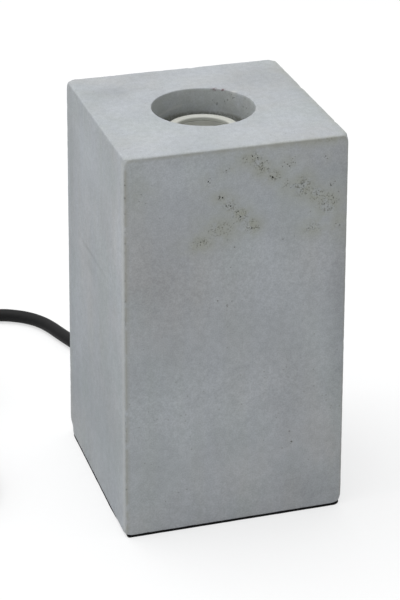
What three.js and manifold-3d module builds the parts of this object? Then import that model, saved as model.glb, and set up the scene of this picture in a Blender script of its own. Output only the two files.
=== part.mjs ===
// Table lamp base: a cast concrete block with an E27 lampholder sunk in a round well,
// a flexible cord with an inline rocker switch, a tied coil and a flat two-pin plug.
// Millimetres, +Z up. The origin is under the middle of the pad; the wide front faces -Y
// and the cord leaves the middle of the +Y face. Export: one THREE.Group of named meshes.

import * as THREE from 'three';
import { mergeVertices } from 'three/addons/utils/BufferGeometryUtils.js';
import Module from 'manifold-3d';

const wasm = await Module();
wasm.setup();

// ---------------------------------------------------------------- clearances
const seat = 0.3; // left between two pieces that touch
const rockerPlay = 0.4; // round the rocker in its window
const past = 1; // how far a cutter reaches past the face it opens

// ---------------------------------------------------------------- block and pad
const blockBase = 112.8; // side of the block at its foot
const blockTop = 108.8; // side at the top; the mould has draft
const blockHeight = 198;
const blockCorner = 1.3; // radius of the upright edges
const blockEdge = 0.8; // rounding of the top and bottom edges
const padThickness = 1.7;
const padInset = 0.3; // pad edge inside the block's side
const padCorner = 3;

// ---------------------------------------------------------------- well and hollow underneath
const wellBore = 50;
const wellChamfer = 0.4;
const hollowBore = 60;
const hollowHeight = 58;
const hollowFillet = 6;
const centreHole = 11; // for the threaded tube
const cordHole = 12; // through the back wall
const cordHoleHeight = 14; // its axis above the floor

// ---------------------------------------------------------------- lampholder, porcelain
const rimSetback = 10.5; // the rim lies this far below the top of the block
const rimDiameter = 37;
const mouthDiameter = 27.3;
const lipHeight = 2;
const lipRound = 1.9;
const skirtHeight = 36;
const skirtFootDiameter = 38.8;
const skirtGrooves = 4; // finger grooves round the foot
const skirtGroovePitch = 2.8;
const skirtGrooveDepth = 0.5;
const neckDiameter = 32.6; // screwed part of the cap inside the skirt
const neckWall = 2.8;
const capHeight = 16.7;
const capBandHeight = 3;
const bossDiameter = 18;
const bossHeight = 5;
const capFloor = 9; // from the foot of the cap to the floor of its hollow
const insertThickness = 6;

// ---------------------------------------------------------------- E27 screw shell
const threadMajor = 26.6; // inside the shell, groove to groove
const threadMinor = 24.4; // inside the shell, crest to crest
const threadPitch = 25.4 / 7;
const shellSheet = 0.4;
const shellLength = 22;
const shellCollar = 4; // plain part above the thread
const shellFlange = 4; // turned in at the foot
const shellColumns = 24;
const rowsPerTurn = 4;

// ---------------------------------------------------------------- contacts and terminals
const contactWidth = 5;
const contactSheet = 0.6;
const contactRise = 4.4; // of the spring tongue above the insert
const contactReach = 9; // from the axis to the fixed end
const liveStem = 7; // from the axis
const neutralStem = 11.2;
const stemDiameter = 3;
const stemHead = 4.6;
const stemHeadHeight = 0.8;
const terminalLength = 6;
const terminalWidth = 7.6;
const terminalHeight = 6.6;
const terminalMiddle = 8.7; // from the axis
const wireHole = 2.8;
const terminalScrew = 2.6;
const terminalScrewHead = 4.4;
const terminalScrewHeadHeight = 1.3;

// ---------------------------------------------------------------- threaded tube and its nut
const tubeThread = 9.8;
const tubeBore = 7.8;
const tubeEngaged = 10.4; // length inside the cap
const tubeSpare = 6; // below the nut
const washerDiameter = 28;
const washerThickness = 1.4;
const nutAcrossFlats = 14;
const nutHeight = 4;
const grubDiameter = 3;

// ---------------------------------------------------------------- cord and strain relief
const cordDiameter = 7.4;
const coreDiameter = 2;
const cordSides = 10;
const cordStep = 15; // about two diameters
const reliefPlug = 12; // length inside the block
const reliefPlugDiameter = 11.2;
const reliefFlange = 16;
const reliefFlangeThickness = 2.2;
const reliefLength = 22.6; // tapered part outside
const reliefRoot = 12.4;
const reliefTip = 9;
const reliefGrooves = 4;
const reliefGrooveDepth = 0.9;

// ---------------------------------------------------------------- inline switch
const switchX = -110.5;
const switchY = 116.5;
const switchLength = 60;
const switchWidth = 28;
const switchHeight = 19;
const switchCorner = 10;
const switchRound = 2.6;
const switchWall = 1.8;
const switchSplit = 8.5; // height of the joint between the halves, and of the cord
const postDiameter = 5.6;
const postX = 8.6;
const postY = 19.5;
const postScrew = 2.8;
const postScrewHead = 4.8;
const postScrewHeadHeight = 1.6;
const rockerWidth = 11.4;
const rockerRadius = 11.3; // of the end faces, round the pivot
const rockerTop = 5.3; // middle of the rocker above the pivot
const rockerTilt = 8; // degrees each way
const rockerHub = 3.4; // below the pivot
const pivotHeight = 14;
const pinDiameter = 3;
const cheekThickness = 2.2;
const cheekWidth = 8;
const clampWidth = 7;
const clampLength = 6;
const clampHeight = 7.6; // top of the brass clamps inside the switch

// ---------------------------------------------------------------- coil, tie and plug
const coilX = -157;
const coilY = 18;
const coilMiddle = 75; // diameter at the middle of the turns
const coilTurnsWide = 3;
const coilTurnsHigh = 2;
const tieWidth = 10;
const tieSheet = 0.8;
const tieAngle = 235; // degrees round the coil
const plugX = -187;
const plugY = 128; // rear of the plug's body
const plugLength = 36;
const plugFace = 35.3;
const plugRear = 17;
const plugThickness = 13.7;
const plugRound = 2.4;
const plugGuard = 12;
const plugGuardRoot = 11;
const plugGuardTip = 8.6;
const plugPinDiameter = 4;
const plugPinLength = 19;
const plugPinSpacing = 18.6;
const plugPinDepth = 8; // inside the body

// ---------------------------------------------------------------- heights worked out from these
const blockFoot = padThickness + seat;
const topZ = blockFoot + blockHeight;
const rimZ = topZ - rimSetback;
const skirtFootZ = rimZ - skirtHeight;
const capTopZ = skirtFootZ - seat;
const capFootZ = capTopZ - capHeight;
const wellFloorZ = capFootZ - seat - washerThickness - seat;
const hollowTopZ = blockFoot + hollowHeight;
const shellTopZ = rimZ - lipHeight - seat;
const shellFootZ = shellTopZ - shellLength;
const insertTopZ = shellFootZ - seat;
const insertFootZ = insertTopZ - insertThickness;
const shellBore = threadMajor / 2 + shellSheet + seat; // radius of the skirt's bore
const cavityRadius = neckDiameter / 2 - neckWall;
const terminalTopZ = insertFootZ - seat;
const terminalFootZ = terminalTopZ - terminalHeight;
const wireZ = terminalTopZ - terminalHeight / 3;
const tubeTopZ = capFootZ + tubeEngaged;
const nutTopZ = hollowTopZ - seat - washerThickness - seat;
const tubeFootZ = nutTopZ - nutHeight - tubeSpare;
const backAtCord = faceAt(cordHoleHeight);
const reliefTipY = backAtCord + seat + reliefFlangeThickness + reliefLength;
const coilRing = coilTurnsWide * cordDiameter; // width of the bundle of turns
const coilInner = (coilMiddle - coilRing) / 2;
const coilOuter = (coilMiddle + coilRing) / 2;
const coilLift = tieSheet + seat;
const coilTopZ = coilLift + coilTurnsHigh * cordDiameter;

// ---------------------------------------------------------------- cord routes, chosen by hand
// From the tip of the strain relief over the floor, round to the left and into the switch.
const leadRoute = [
  [0, reliefTipY + seat, cordHoleHeight],
  [0, 87, 13.8],
  [-1.2, 94.5, 12.4],
  [-4.3, 102.6, 9.9],
  [-8.8, 110.3, 7.2],
  [-13.9, 117.4, 5.2],
  [-18.8, 124, 4.2],
  [-23.4, 130.6, 3.8],
  [-27, 137.4, 3.8],
  [-30, 143.9, 3.8],
  [-32.6, 150.5, 3.8],
  [-35.1, 157.2, 3.8],
  [-37.5, 164, 3.8],
  [-40, 171, 3.8],
  [-43.9, 178.8, 3.8],
  [-49.4, 185.5, 3.8],
  [-56.3, 190.7, 3.8],
  [-64.2, 194.3, 3.8],
  [-76, 196, 3.8],
  [-84.9, 194.8, 3.8],
  [-93.3, 191.4, 3.8],
  [-100.4, 186, 4.2],
  [-105.9, 179, 5.1],
  [-109.3, 170.6, 6.5],
  [-110.5, 161.7, 7.8],
  [-110.5, 152.6, 8.5],
  [-110.5, 144.5, 8.5],
];
// From the switch to the outer turn of the coil.
const runRoute = [
  [-110.5, 88.5, 8.5],
  [-110.5, 81.5, 8.5],
  [-110.6, 74.5, 8.2],
  [-111, 66.8, 7.3],
  [-111.6, 59, 6.1],
  [-112, 51.6, 5.2],
  [-112.1, 46.6, 4.8],
  [-112.1, 43.6, 4.8],
];
// From the top of the coil down to the floor and up into the plug.
const tailRoute = [
  [-201.9, 43.6, 12.2],
  [-201.9, 52, 11.2],
  [-200.9, 61, 8.3],
  [-198.7, 70, 5.4],
  [-195.8, 79, 4],
  [-192.6, 88, 3.8],
  [-189.8, 97, 4.2],
  [-187.7, 106, 5.7],
  [-187, 111.6, 6.6],
  [-187, 115.7, 6.85],
];
// Inside the block: from the strain relief round to the threaded tube and up to the cap.
const innerRoute = [
  [0, backAtCord - reliefPlug - seat, cordHoleHeight],
  [0, 36, 14],
  [0, 28, 14],
  [0, 17.3, 16.1],
  [0, 8.2, 22.2],
  [0, 2.1, 31.3],
  [0, 0, 42],
  [0, 0, hollowTopZ],
  [0, 0, (hollowTopZ + tubeTopZ) / 2],
  [0, 0, tubeTopZ + seat],
];

// ---------------------------------------------------------------- finishes
const concrete = finish(0x8f9296, 0.85, 0);
const blackRubber = finish(0x17181a, 0.85, 0);
const blackPlastic = finish(0x1b1c1e, 0.5, 0);
const porcelain = finish(0xdcdcd4, 0.25, 0);
const nickel = finish(0xa3a29c, 0.35, 0.9);
const brass = finish(0xb49a5a, 0.35, 0.9);
const steel = finish(0x9a9c9e, 0.4, 0.9);
const brownCore = finish(0x5b3a26, 0.6, 0);
const blueCore = finish(0x27508c, 0.6, 0);

function finish(color, roughness, metalness) {
  return new THREE.MeshStandardMaterial({ color, roughness, metalness });
}

// ---------------------------------------------------------------- solids: joining and cutting
function solidOf(geometry) {
  const bare = geometry.clone();
  bare.deleteAttribute('normal');
  bare.deleteAttribute('uv');
  const merged = mergeVertices(bare, 1e-4);
  const vertProperties = new Float32Array(merged.attributes.position.array);
  const triVerts = new Uint32Array(merged.index.array);
  return new wasm.Manifold(new wasm.Mesh({ numProp: 3, vertProperties, triVerts }));
}

function geometryOf(solid) {
  const { vertProperties, triVerts } = solid.getMesh();
  const geometry = new THREE.BufferGeometry();
  geometry.setAttribute('position', new THREE.BufferAttribute(vertProperties, 3));
  geometry.setIndex(new THREE.BufferAttribute(triVerts, 1));
  geometry.computeVertexNormals();
  return geometry;
}

function cut(body, ...tools) {
  return tools.reduce((rest, tool) => rest.subtract(solidOf(tool)), body);
}

function join(body, ...pieces) {
  return pieces.reduce((whole, piece) => whole.add(solidOf(piece)), body);
}

// ---------------------------------------------------------------- basic forms
// A turned form about Z from [radius, height] points that run anticlockwise.
function turned(points, segments = 40) {
  const profile = points.map(([radius, height]) => new THREE.Vector2(radius, height));
  return new THREE.LatheGeometry(profile, segments).rotateX(Math.PI / 2);
}

function disc(radius, low, high, segments = 24) {
  return turned([[0, low], [radius, low], [radius, high], [0, high]], segments);
}

// A tube or washer about Z.
function ring(inner, outer, low, high, segments = 32) {
  return turned([[inner, low], [outer, low], [outer, high], [inner, high], [inner, low]], segments);
}

function box(width, length, low, high) {
  return new THREE.BoxGeometry(width, length, high - low).translate(0, 0, (low + high) / 2);
}

// Points of a quarter circle about (x, y), in degrees from start to end.
function arc(x, y, radius, start, end, pieces) {
  return Array.from({ length: pieces + 1 }, (_, i) => {
    const angle = THREE.MathUtils.degToRad(start + ((end - start) * i) / pieces);
    return [x + radius * Math.cos(angle), y + radius * Math.sin(angle)];
  });
}

function roundedRectangle(width, length, radius) {
  const x = width / 2 - radius;
  const y = length / 2 - radius;
  const shape = new THREE.Shape();
  shape.absarc(x, y, radius, 0, Math.PI / 2);
  shape.absarc(-x, y, radius, Math.PI / 2, Math.PI);
  shape.absarc(-x, -y, radius, Math.PI, Math.PI * 1.5);
  shape.absarc(x, -y, radius, Math.PI * 1.5, Math.PI * 2);
  shape.closePath();
  return shape;
}

// A rounded slab from z = 0 to height whose rims are rounded inside the outline's own size.
function roundedSlab(width, length, height, corner, round, curveSegments, bevelSegments = 3) {
  const outline = roundedRectangle(width - 2 * round, length - 2 * round, corner - round);
  return new THREE.ExtrudeGeometry(outline, {
    depth: height - 2 * round,
    bevelThickness: round,
    bevelSize: round,
    bevelSegments,
    curveSegments,
  }).translate(0, 0, round);
}

// Turns a form drawn in x and y and extruded in z so that it is drawn in Y and Z along X.
function alongX(geometry) {
  const turn = new THREE.Matrix4().makeBasis(
    new THREE.Vector3(0, 1, 0),
    new THREE.Vector3(0, 0, 1),
    new THREE.Vector3(1, 0, 0),
  );
  return geometry.applyMatrix4(turn);
}

function cordAlong(route, diameter, sides, step) {
  const path = new THREE.CatmullRomCurve3(route.map((point) => new THREE.Vector3(...point)));
  const section = new THREE.Shape().absarc(0, 0, diameter / 2, 0, Math.PI * 2);
  const steps = Math.max(4, Math.ceil(path.getLength() / step));
  return new THREE.ExtrudeGeometry(section, { extrudePath: path, steps, curveSegments: sides });
}

// ---------------------------------------------------------------- block and pad
// Distance of an upright face from the middle at a height above the floor.
function faceAt(height) {
  const share = (height - blockFoot) / blockHeight;
  return (blockBase + (blockTop - blockBase) * share) / 2;
}

function blockForm() {
  const form = roundedSlab(blockBase, blockBase, blockHeight, blockCorner, blockEdge, 3);
  form.translate(0, 0, blockFoot);
  const place = form.attributes.position;
  for (let i = 0; i < place.count; i++) {
    const share = faceAt(place.getZ(i)) / faceAt(blockFoot);
    place.setX(i, place.getX(i) * share);
    place.setY(i, place.getY(i) * share);
  }
  return form;
}

function concreteBlock() {
  const wellRadius = wellBore / 2;
  const well = turned([
    [0, wellFloorZ],
    [wellRadius, wellFloorZ],
    [wellRadius, topZ - wellChamfer],
    [wellRadius + wellChamfer, topZ],
    [wellRadius + wellChamfer, topZ + past],
    [0, topZ + past],
  ], 48);
  const hollowRadius = hollowBore / 2;
  const hollow = turned([
    [0, blockFoot - past],
    [hollowRadius, blockFoot - past],
    ...arc(hollowRadius - hollowFillet, hollowTopZ - hollowFillet, hollowFillet, 0, 90, 2),
    [0, hollowTopZ],
  ], 36);
  const centre = disc(centreHole / 2, hollowTopZ - past, wellFloorZ + past, 20);
  const cordWay = disc(cordHole / 2, -blockBase, -hollowRadius / 2, 20)
    .rotateX(Math.PI / 2)
    .translate(0, 0, cordHoleHeight);
  return cut(solidOf(blockForm()), well, hollow, centre, cordWay);
}

function basePad() {
  const side = blockBase - 2 * padInset;
  return roundedSlab(side, side, padThickness, padCorner, 0.4, 3, 1);
}

// ---------------------------------------------------------------- lampholder body
function holderSkirt() {
  const rim = rimDiameter / 2;
  const foot = skirtFootDiameter / 2;
  const mouth = mouthDiameter / 2;
  const neck = neckDiameter / 2 + seat;
  const outerRound = rim - mouth - lipRound;
  const groovesFrom = skirtFootZ + skirtGroovePitch / 2;
  const grooves = Array.from({ length: skirtGrooves }, (_, i) => {
    const low = groovesFrom + i * skirtGroovePitch;
    const half = skirtGroovePitch / 2;
    return [
      [foot, low],
      [foot - skirtGrooveDepth, low + half / 2],
      [foot, low + half],
    ];
  }).flat();
  return turned([
    [shellBore, rimZ - lipHeight],
    [shellBore, insertTopZ],
    [neck, insertTopZ],
    [neck, skirtFootZ],
    [foot - 0.6, skirtFootZ],
    [foot, skirtFootZ + 0.6],
    ...grooves,
    [foot, groovesFrom + skirtGrooves * skirtGroovePitch],
    [rim, rimZ - skirtHeight / 2],
    ...arc(rim - outerRound, rimZ - outerRound, outerRound, 0, 90, 4),
    ...arc(mouth + lipRound, rimZ - lipRound, lipRound, 90, 180, 4),
    [mouth, rimZ - lipHeight],
    [shellBore, rimZ - lipHeight],
  ], 28);
}

function holderCap() {
  const band = skirtFootDiameter / 2;
  const boss = bossDiameter / 2;
  const neck = neckDiameter / 2;
  const hole = tubeThread / 2 + seat;
  const domeTop = capTopZ - capBandHeight;
  const domeFoot = capFootZ + bossHeight;
  const dome = Array.from({ length: 6 }, (_, i) => {
    const angle = (Math.PI / 2) * (i / 5);
    return [boss + (band - boss) * Math.sin(angle), domeTop - (domeTop - domeFoot) * Math.cos(angle)];
  });
  const cap = turned([
    [hole, capFootZ],
    [boss - 0.6, capFootZ],
    [boss, capFootZ + 0.6],
    ...dome,
    [band, capTopZ],
    [neck, capTopZ],
    [neck, insertFootZ - seat],
    [cavityRadius, insertFootZ - seat],
    [cavityRadius, capFootZ + capFloor + 4],
    [cavityRadius - 4, capFootZ + capFloor],
    [hole, capFootZ + capFloor],
    [hole, capFootZ],
  ], 28);
  const grubHole = disc(grubDiameter / 2 + seat, 0, boss + past, 12)
    .rotateY(Math.PI / 2)
    .translate(0, 0, capFootZ + bossHeight / 2);
  return cut(solidOf(cap), grubHole);
}

function holderInsert() {
  const plate = disc(neckDiameter / 2, insertFootZ, insertTopZ, 28);
  const stemHole = stemDiameter / 2 + seat;
  const liveHole = disc(stemHole, insertFootZ - past, insertTopZ + past, 12).translate(liveStem, 0, 0);
  const neutralHole = disc(stemHole, insertFootZ - past, insertTopZ + past, 12)
    .translate(-neutralStem, 0, 0);
  return cut(solidOf(plate), liveHole, neutralHole);
}

// ---------------------------------------------------------------- screw shell
// Radius inside the shell: plain at the collar and the foot, and between them a round
// thread that rises one pitch in a turn and fades in and out over its end turns.
function shellRadius(height, angle) {
  const threadFoot = shellFootZ + shellSheet + threadPitch / 2;
  const threadTop = shellTopZ - shellCollar;
  const mean = (threadMajor + threadMinor) / 4;
  const depth = (threadMajor - threadMinor) / 4;
  const wave = Math.cos((2 * Math.PI * (height - threadFoot)) / threadPitch - angle);
  const fade = Math.min(height - threadFoot, threadTop - height) / threadPitch;
  const share = THREE.MathUtils.clamp(fade * 2, 0, 1);
  return mean + depth * (share * wave + 1 - share);
}

// One closed section of the sheet at an angle: up the outside, down the inside, and round
// the turned-in flange.
function shellSection(angle) {
  const rows = Math.round(((shellLength - shellSheet) / threadPitch) * rowsPerTurn);
  const heights = Array.from({ length: rows + 1 }, (_, i) => {
    return shellFootZ + shellSheet + ((shellLength - shellSheet) * i) / rows;
  });
  const inside = heights.map((height) => [shellRadius(height, angle), height]);
  const outside = inside.map(([radius, height]) => [radius + shellSheet, height]);
  const flange = threadMajor / 2 - shellFlange;
  return [
    [flange, shellFootZ + shellSheet],
    [flange, shellFootZ],
    [threadMajor / 2 + shellSheet, shellFootZ],
    ...outside,
    ...inside.reverse(),
  ];
}

function screwShell() {
  const sections = Array.from({ length: shellColumns }, (_, column) => {
    const angle = (2 * Math.PI * column) / shellColumns;
    return shellSection(angle).map(([radius, height]) => [
      radius * Math.cos(angle),
      radius * Math.sin(angle),
      height,
    ]);
  });
  const count = sections[0].length;
  const index = [];
  for (let column = 0; column < shellColumns; column++) {
    const next = (column + 1) % shellColumns;
    for (let i = 0; i < count; i++) {
      const after = (i + 1) % count;
      const corners = [
        column * count + i,
        next * count + i,
        next * count + after,
        column * count + after,
      ];
      index.push(corners[0], corners[1], corners[2], corners[0], corners[2], corners[3]);
    }
  }
  const geometry = new THREE.BufferGeometry();
  geometry.setAttribute('position', new THREE.Float32BufferAttribute(sections.flat(2), 3));
  geometry.setIndex(index);
  geometry.computeVertexNormals();
  return geometry;
}

// ---------------------------------------------------------------- contacts and terminals
// Bent spring strip: flat under the rivet, then a rise and a round top over the axis.
function centreContact() {
  const foot = insertTopZ + seat;
  const top = insertTopZ + contactRise;
  const line = new THREE.CatmullRomCurve3([
    new THREE.Vector3(contactReach, 0, foot),
    new THREE.Vector3(liveStem, 0, foot),
    new THREE.Vector3(liveStem - stemHead / 2 - 0.4, 0, foot),
    new THREE.Vector3(liveStem - stemHead / 2 - 2.2, 0, foot + contactRise / 2.4),
    new THREE.Vector3(0, 0, top - contactSheet),
    new THREE.Vector3(-2.4, 0, top - contactSheet - 0.9),
    new THREE.Vector3(-3.2, 0, top - contactSheet - 2.1),
  ]).getPoints(18);
  const upper = line.map((point) => [point.x, point.z + contactSheet]);
  const lower = line.map((point) => [point.x, point.z]);
  const outline = [...lower, ...upper.reverse()].map(([x, z]) => new THREE.Vector2(x, z));
  const strip = new THREE.ExtrudeGeometry(new THREE.Shape(outline), {
    depth: contactWidth,
    bevelEnabled: false,
  }).rotateX(Math.PI / 2).translate(0, contactWidth / 2, 0);
  const hole = disc(stemDiameter / 2 + seat, foot - past, foot + contactSheet + past, 12)
    .translate(liveStem, 0, 0);
  return cut(solidOf(strip), hole);
}

function terminal(side, stemAt, stemTop) {
  const middle = side * terminalMiddle;
  const block = box(terminalLength, terminalWidth, terminalFootZ, terminalTopZ)
    .translate(middle, 0, 0);
  const stem = disc(stemDiameter / 2, terminalTopZ - past, stemTop, 10)
    .translate(side * stemAt, 0, 0);
  const wireWay = disc(wireHole / 2, -terminalWidth, terminalWidth, 12)
    .rotateX(Math.PI / 2)
    .translate(middle, 0, wireZ);
  const screwWay = disc(terminalScrew / 2 + seat, terminalFootZ - past, wireZ, 12)
    .translate(middle, 0, 0);
  return cut(join(solidOf(block), stem), wireWay, screwWay);
}

function terminalLive() {
  const headFoot = insertTopZ + seat + contactSheet + seat;
  const head = disc(stemHead / 2, headFoot, headFoot + stemHeadHeight, 12)
    .translate(liveStem, 0, 0);
  return join(terminal(1, liveStem, headFoot + stemHeadHeight), head);
}

function terminalNeutral() {
  return terminal(-1, neutralStem, insertTopZ);
}

function terminalScrewOn(side) {
  const headTop = terminalFootZ - seat;
  return turned([
    [0, headTop - terminalScrewHeadHeight],
    [terminalScrewHead / 2, headTop - terminalScrewHeadHeight],
    [terminalScrewHead / 2, headTop],
    [terminalScrew / 2, headTop],
    [terminalScrew / 2, wireZ - wireHole / 2],
    [0, wireZ - wireHole / 2],
  ], 10).translate(side * terminalMiddle, 0, 0);
}

// ---------------------------------------------------------------- threaded tube and fixings
function threadedTube() {
  return ring(tubeBore / 2, tubeThread / 2, tubeFootZ, tubeTopZ, 20);
}

function washer(top) {
  return ring(tubeThread / 2 + seat, washerDiameter / 2, top - washerThickness, top, 24);
}

function tubeNut() {
  const across = nutAcrossFlats / Math.sqrt(3); // radius to the corners
  const hex = disc(across, nutTopZ - nutHeight, nutTopZ, 6);
  const crown = turned([
    [0, nutTopZ - nutHeight],
    [nutAcrossFlats / 2, nutTopZ - nutHeight],
    [across + 0.2, nutTopZ - nutHeight + 0.8],
    [across + 0.2, nutTopZ - 0.8],
    [nutAcrossFlats / 2, nutTopZ],
    [0, nutTopZ],
  ], 18);
  const hole = disc(tubeThread / 2 + seat, nutTopZ - nutHeight - past, nutTopZ + past, 20);
  return cut(solidOf(hex).intersect(solidOf(crown)), hole);
}

function grubScrew() {
  return disc(grubDiameter / 2, tubeThread / 2 + seat, bossDiameter / 2 + 0.4, 12)
    .rotateY(Math.PI / 2)
    .translate(0, 0, capFootZ + bossHeight / 2);
}

// ---------------------------------------------------------------- strain relief
// Moulded on the cord: a barbed plug in the hole, a flange on the back and a ribbed taper.
function cordRelief() {
  const plug = reliefPlugDiameter / 2;
  const flangeFoot = backAtCord + seat;
  const taperFoot = flangeFoot + reliefFlangeThickness;
  const radiusAt = (share) => (reliefRoot + (reliefTip - reliefRoot) * share) / 2;
  const ribs = Array.from({ length: reliefGrooves }, (_, i) => {
    const start = (i + 0.7) / (reliefGrooves + 1);
    const half = 0.3 / (reliefGrooves + 1);
    return [
      [radiusAt(start), start],
      [radiusAt(start) - reliefGrooveDepth, start + 0.02],
      [radiusAt(start) - reliefGrooveDepth, start + 2 * half - 0.02],
      [radiusAt(start + 2 * half), start + 2 * half],
    ];
  }).flat().map(([radius, share]) => [radius, taperFoot + share * reliefLength]);
  return turned([
    [0, backAtCord - reliefPlug],
    [plug - 1.2, backAtCord - reliefPlug],
    [plug, backAtCord - reliefPlug + 3],
    [plug - 0.8, backAtCord - reliefPlug + 3],
    [plug - 0.8, backAtCord - reliefPlug / 2],
    [plug, flangeFoot],
    [reliefFlange / 2, flangeFoot],
    [reliefFlange / 2, taperFoot - 0.6],
    [reliefFlange / 2 - 0.6, taperFoot],
    [reliefRoot / 2, taperFoot],
    ...ribs,
    [reliefTip / 2, reliefTipY],
    [0, reliefTipY],
  ], 14).rotateX(-Math.PI / 2).translate(0, 0, cordHoleHeight);
}

// ---------------------------------------------------------------- inline switch, about its own middle
function switchShell() {
  const outside = roundedSlab(
    switchWidth, switchLength, switchHeight, switchCorner, switchRound, 5, 2,
  );
  const inside = new THREE.ExtrudeGeometry(
    roundedRectangle(
      switchWidth - 2 * switchWall,
      switchLength - 2 * switchWall,
      switchCorner - switchWall,
    ),
    { depth: switchHeight - 2 * switchWall, bevelEnabled: false, curveSegments: 3 },
  ).translate(0, 0, switchWall);
  const cordWay = disc(cordDiameter / 2 + seat, -switchLength, switchLength, 16)
    .rotateX(Math.PI / 2)
    .translate(0, 0, switchSplit);
  return cut(solidOf(outside), inside, cordWay);
}

// The posts and their screws stand at two opposite corners: end is -1 or 1.
function postAt(end, low, high, diameter) {
  return disc(diameter / 2, low, high, 12).translate(-end * postX, end * postY, 0);
}

function posts(low, high, diameter) {
  return [-1, 1].map((end) => postAt(end, low, high, diameter));
}

function switchBase() {
  const half = box(2 * switchWidth, 2 * switchLength, -past, switchSplit - seat / 2);
  const shell = switchShell().intersect(solidOf(half));
  const withPosts = join(shell, ...posts(switchWall / 2, switchSplit - seat / 2, postDiameter));
  const headDepth = postScrewHeadHeight + seat;
  return cut(
    withPosts,
    ...posts(-past, switchSplit, postScrew + 2 * seat),
    ...posts(-past, headDepth, postScrewHead + 2 * seat),
  );
}

function switchCover() {
  const half = box(2 * switchWidth, 2 * switchLength, switchSplit + seat / 2, switchHeight + past);
  const shell = switchShell().intersect(solidOf(half));
  const ceiling = switchHeight - switchWall;
  const windowWidth = rockerWidth + 2 * rockerPlay;
  const windowLength = 2 * (rockerRadius + rockerPlay);
  const window = box(windowWidth, windowLength, ceiling - past, switchHeight + past);
  const cheekX = windowWidth / 2 + cheekThickness / 2;
  const cheekFoot = pivotHeight - pinDiameter - seat;
  const cheeks = [-cheekX, cheekX].map((x) => {
    return box(cheekThickness, cheekWidth, cheekFoot, ceiling + switchWall / 2).translate(x, 0, 0);
  });
  const pinWay = disc(pinDiameter / 2 + seat, -switchWidth / 3, switchWidth / 3, 16)
    .rotateY(Math.PI / 2)
    .translate(0, 0, pivotHeight);
  const body = join(
    shell,
    ...posts(switchSplit + seat / 2, ceiling + switchWall / 2, postDiameter),
    ...cheeks,
  );
  return cut(
    body,
    window,
    pinWay,
    ...posts(switchSplit - past, ceiling - switchWall, postScrew + 2 * seat),
  );
}

function switchScrew(end) {
  const head = postAt(end, seat, postScrewHeadHeight, postScrewHead);
  const shank = postAt(end, postScrewHeadHeight - past, switchHeight - 3 * switchWall, postScrew);
  return join(solidOf(head), shank);
}

// A brass clamp on the floor of the base, where the cores of the cord are held.
function switchTerminal(end) {
  const clamp = box(clampWidth, clampLength, switchWall + seat, clampHeight);
  const coreWay = disc(wireHole / 2, -clampLength, clampLength, 12)
    .rotateX(Math.PI / 2)
    .translate(0, 0, clampHeight - wireHole);
  return geometryOf(cut(solidOf(clamp), coreWay)).translate(0, (end * switchLength) / 4, 0);
}

// Drawn about its pivot, level: round ends about the pivot, a shallow V on top, a hub below.
function switchRocker() {
  const slope = Math.tan(THREE.MathUtils.degToRad(rockerTilt));
  const tipAngle = 35.5;
  const tips = arc(0, 0, rockerRadius, 6, tipAngle, 4);
  const tipHeight = rockerTop + tips[4][0] * slope;
  tips[4][1] = tipHeight;
  const right = [[2.4, -rockerHub], [5.4, -0.6], ...tips];
  const left = right.map(([y, z]) => [-y, z]).reverse();
  const outline = [...right, [0, rockerTop], ...left].map(([y, z]) => new THREE.Vector2(y, z));
  const body = alongX(
    new THREE.ExtrudeGeometry(new THREE.Shape(outline), { depth: rockerWidth, bevelEnabled: false }),
  ).translate(-rockerWidth / 2, 0, 0);
  const pinReach = rockerWidth / 2 + rockerPlay + cheekThickness - seat;
  const pin = disc(pinDiameter / 2, -pinReach, pinReach, 16).rotateY(Math.PI / 2);
  return join(solidOf(body), pin);
}

// ---------------------------------------------------------------- coil and tie
function cordCoil() {
  const corner = cordDiameter / 2;
  return turned([
    ...arc(coilInner + corner, coilTopZ - corner, corner, 90, 180, 2),
    ...arc(coilInner + corner, coilLift + corner, corner, 180, 270, 2),
    ...arc(coilOuter - corner, coilLift + corner, corner, 270, 360, 2),
    ...arc(coilOuter - corner, coilTopZ - corner, corner, 0, 90, 2),
    [coilInner + corner, coilTopZ],
  ], 32);
}

// A strap round the turns. Its inner side clears the bulge of the ring's inner face.
function cordTie() {
  const inner = Math.sqrt(coilInner ** 2 - (tieWidth / 2) ** 2) - seat;
  const outer = coilOuter + seat;
  const strap = (low, high, margin) => new THREE.ExtrudeGeometry(
    roundedRectangle(outer - inner + 2 * margin, high - low, 3 + margin),
    { depth: tieWidth + (margin ? 0 : 2), bevelEnabled: false, curveSegments: 3 },
  );
  const middleZ = (coilLift + coilTopZ) / 2;
  const outside = strap(0, coilTopZ + coilLift, tieSheet).translate(0, 0, -tieWidth / 2);
  const inside = strap(coilLift - seat, coilTopZ + seat, 0).translate(0, 0, -tieWidth / 2 - 1);
  const loop = cut(solidOf(outside), inside);
  return geometryOf(loop)
    .rotateX(Math.PI / 2)
    .translate((inner + outer) / 2, 0, middleZ)
    .rotateZ(THREE.MathUtils.degToRad(tieAngle));
}

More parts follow.
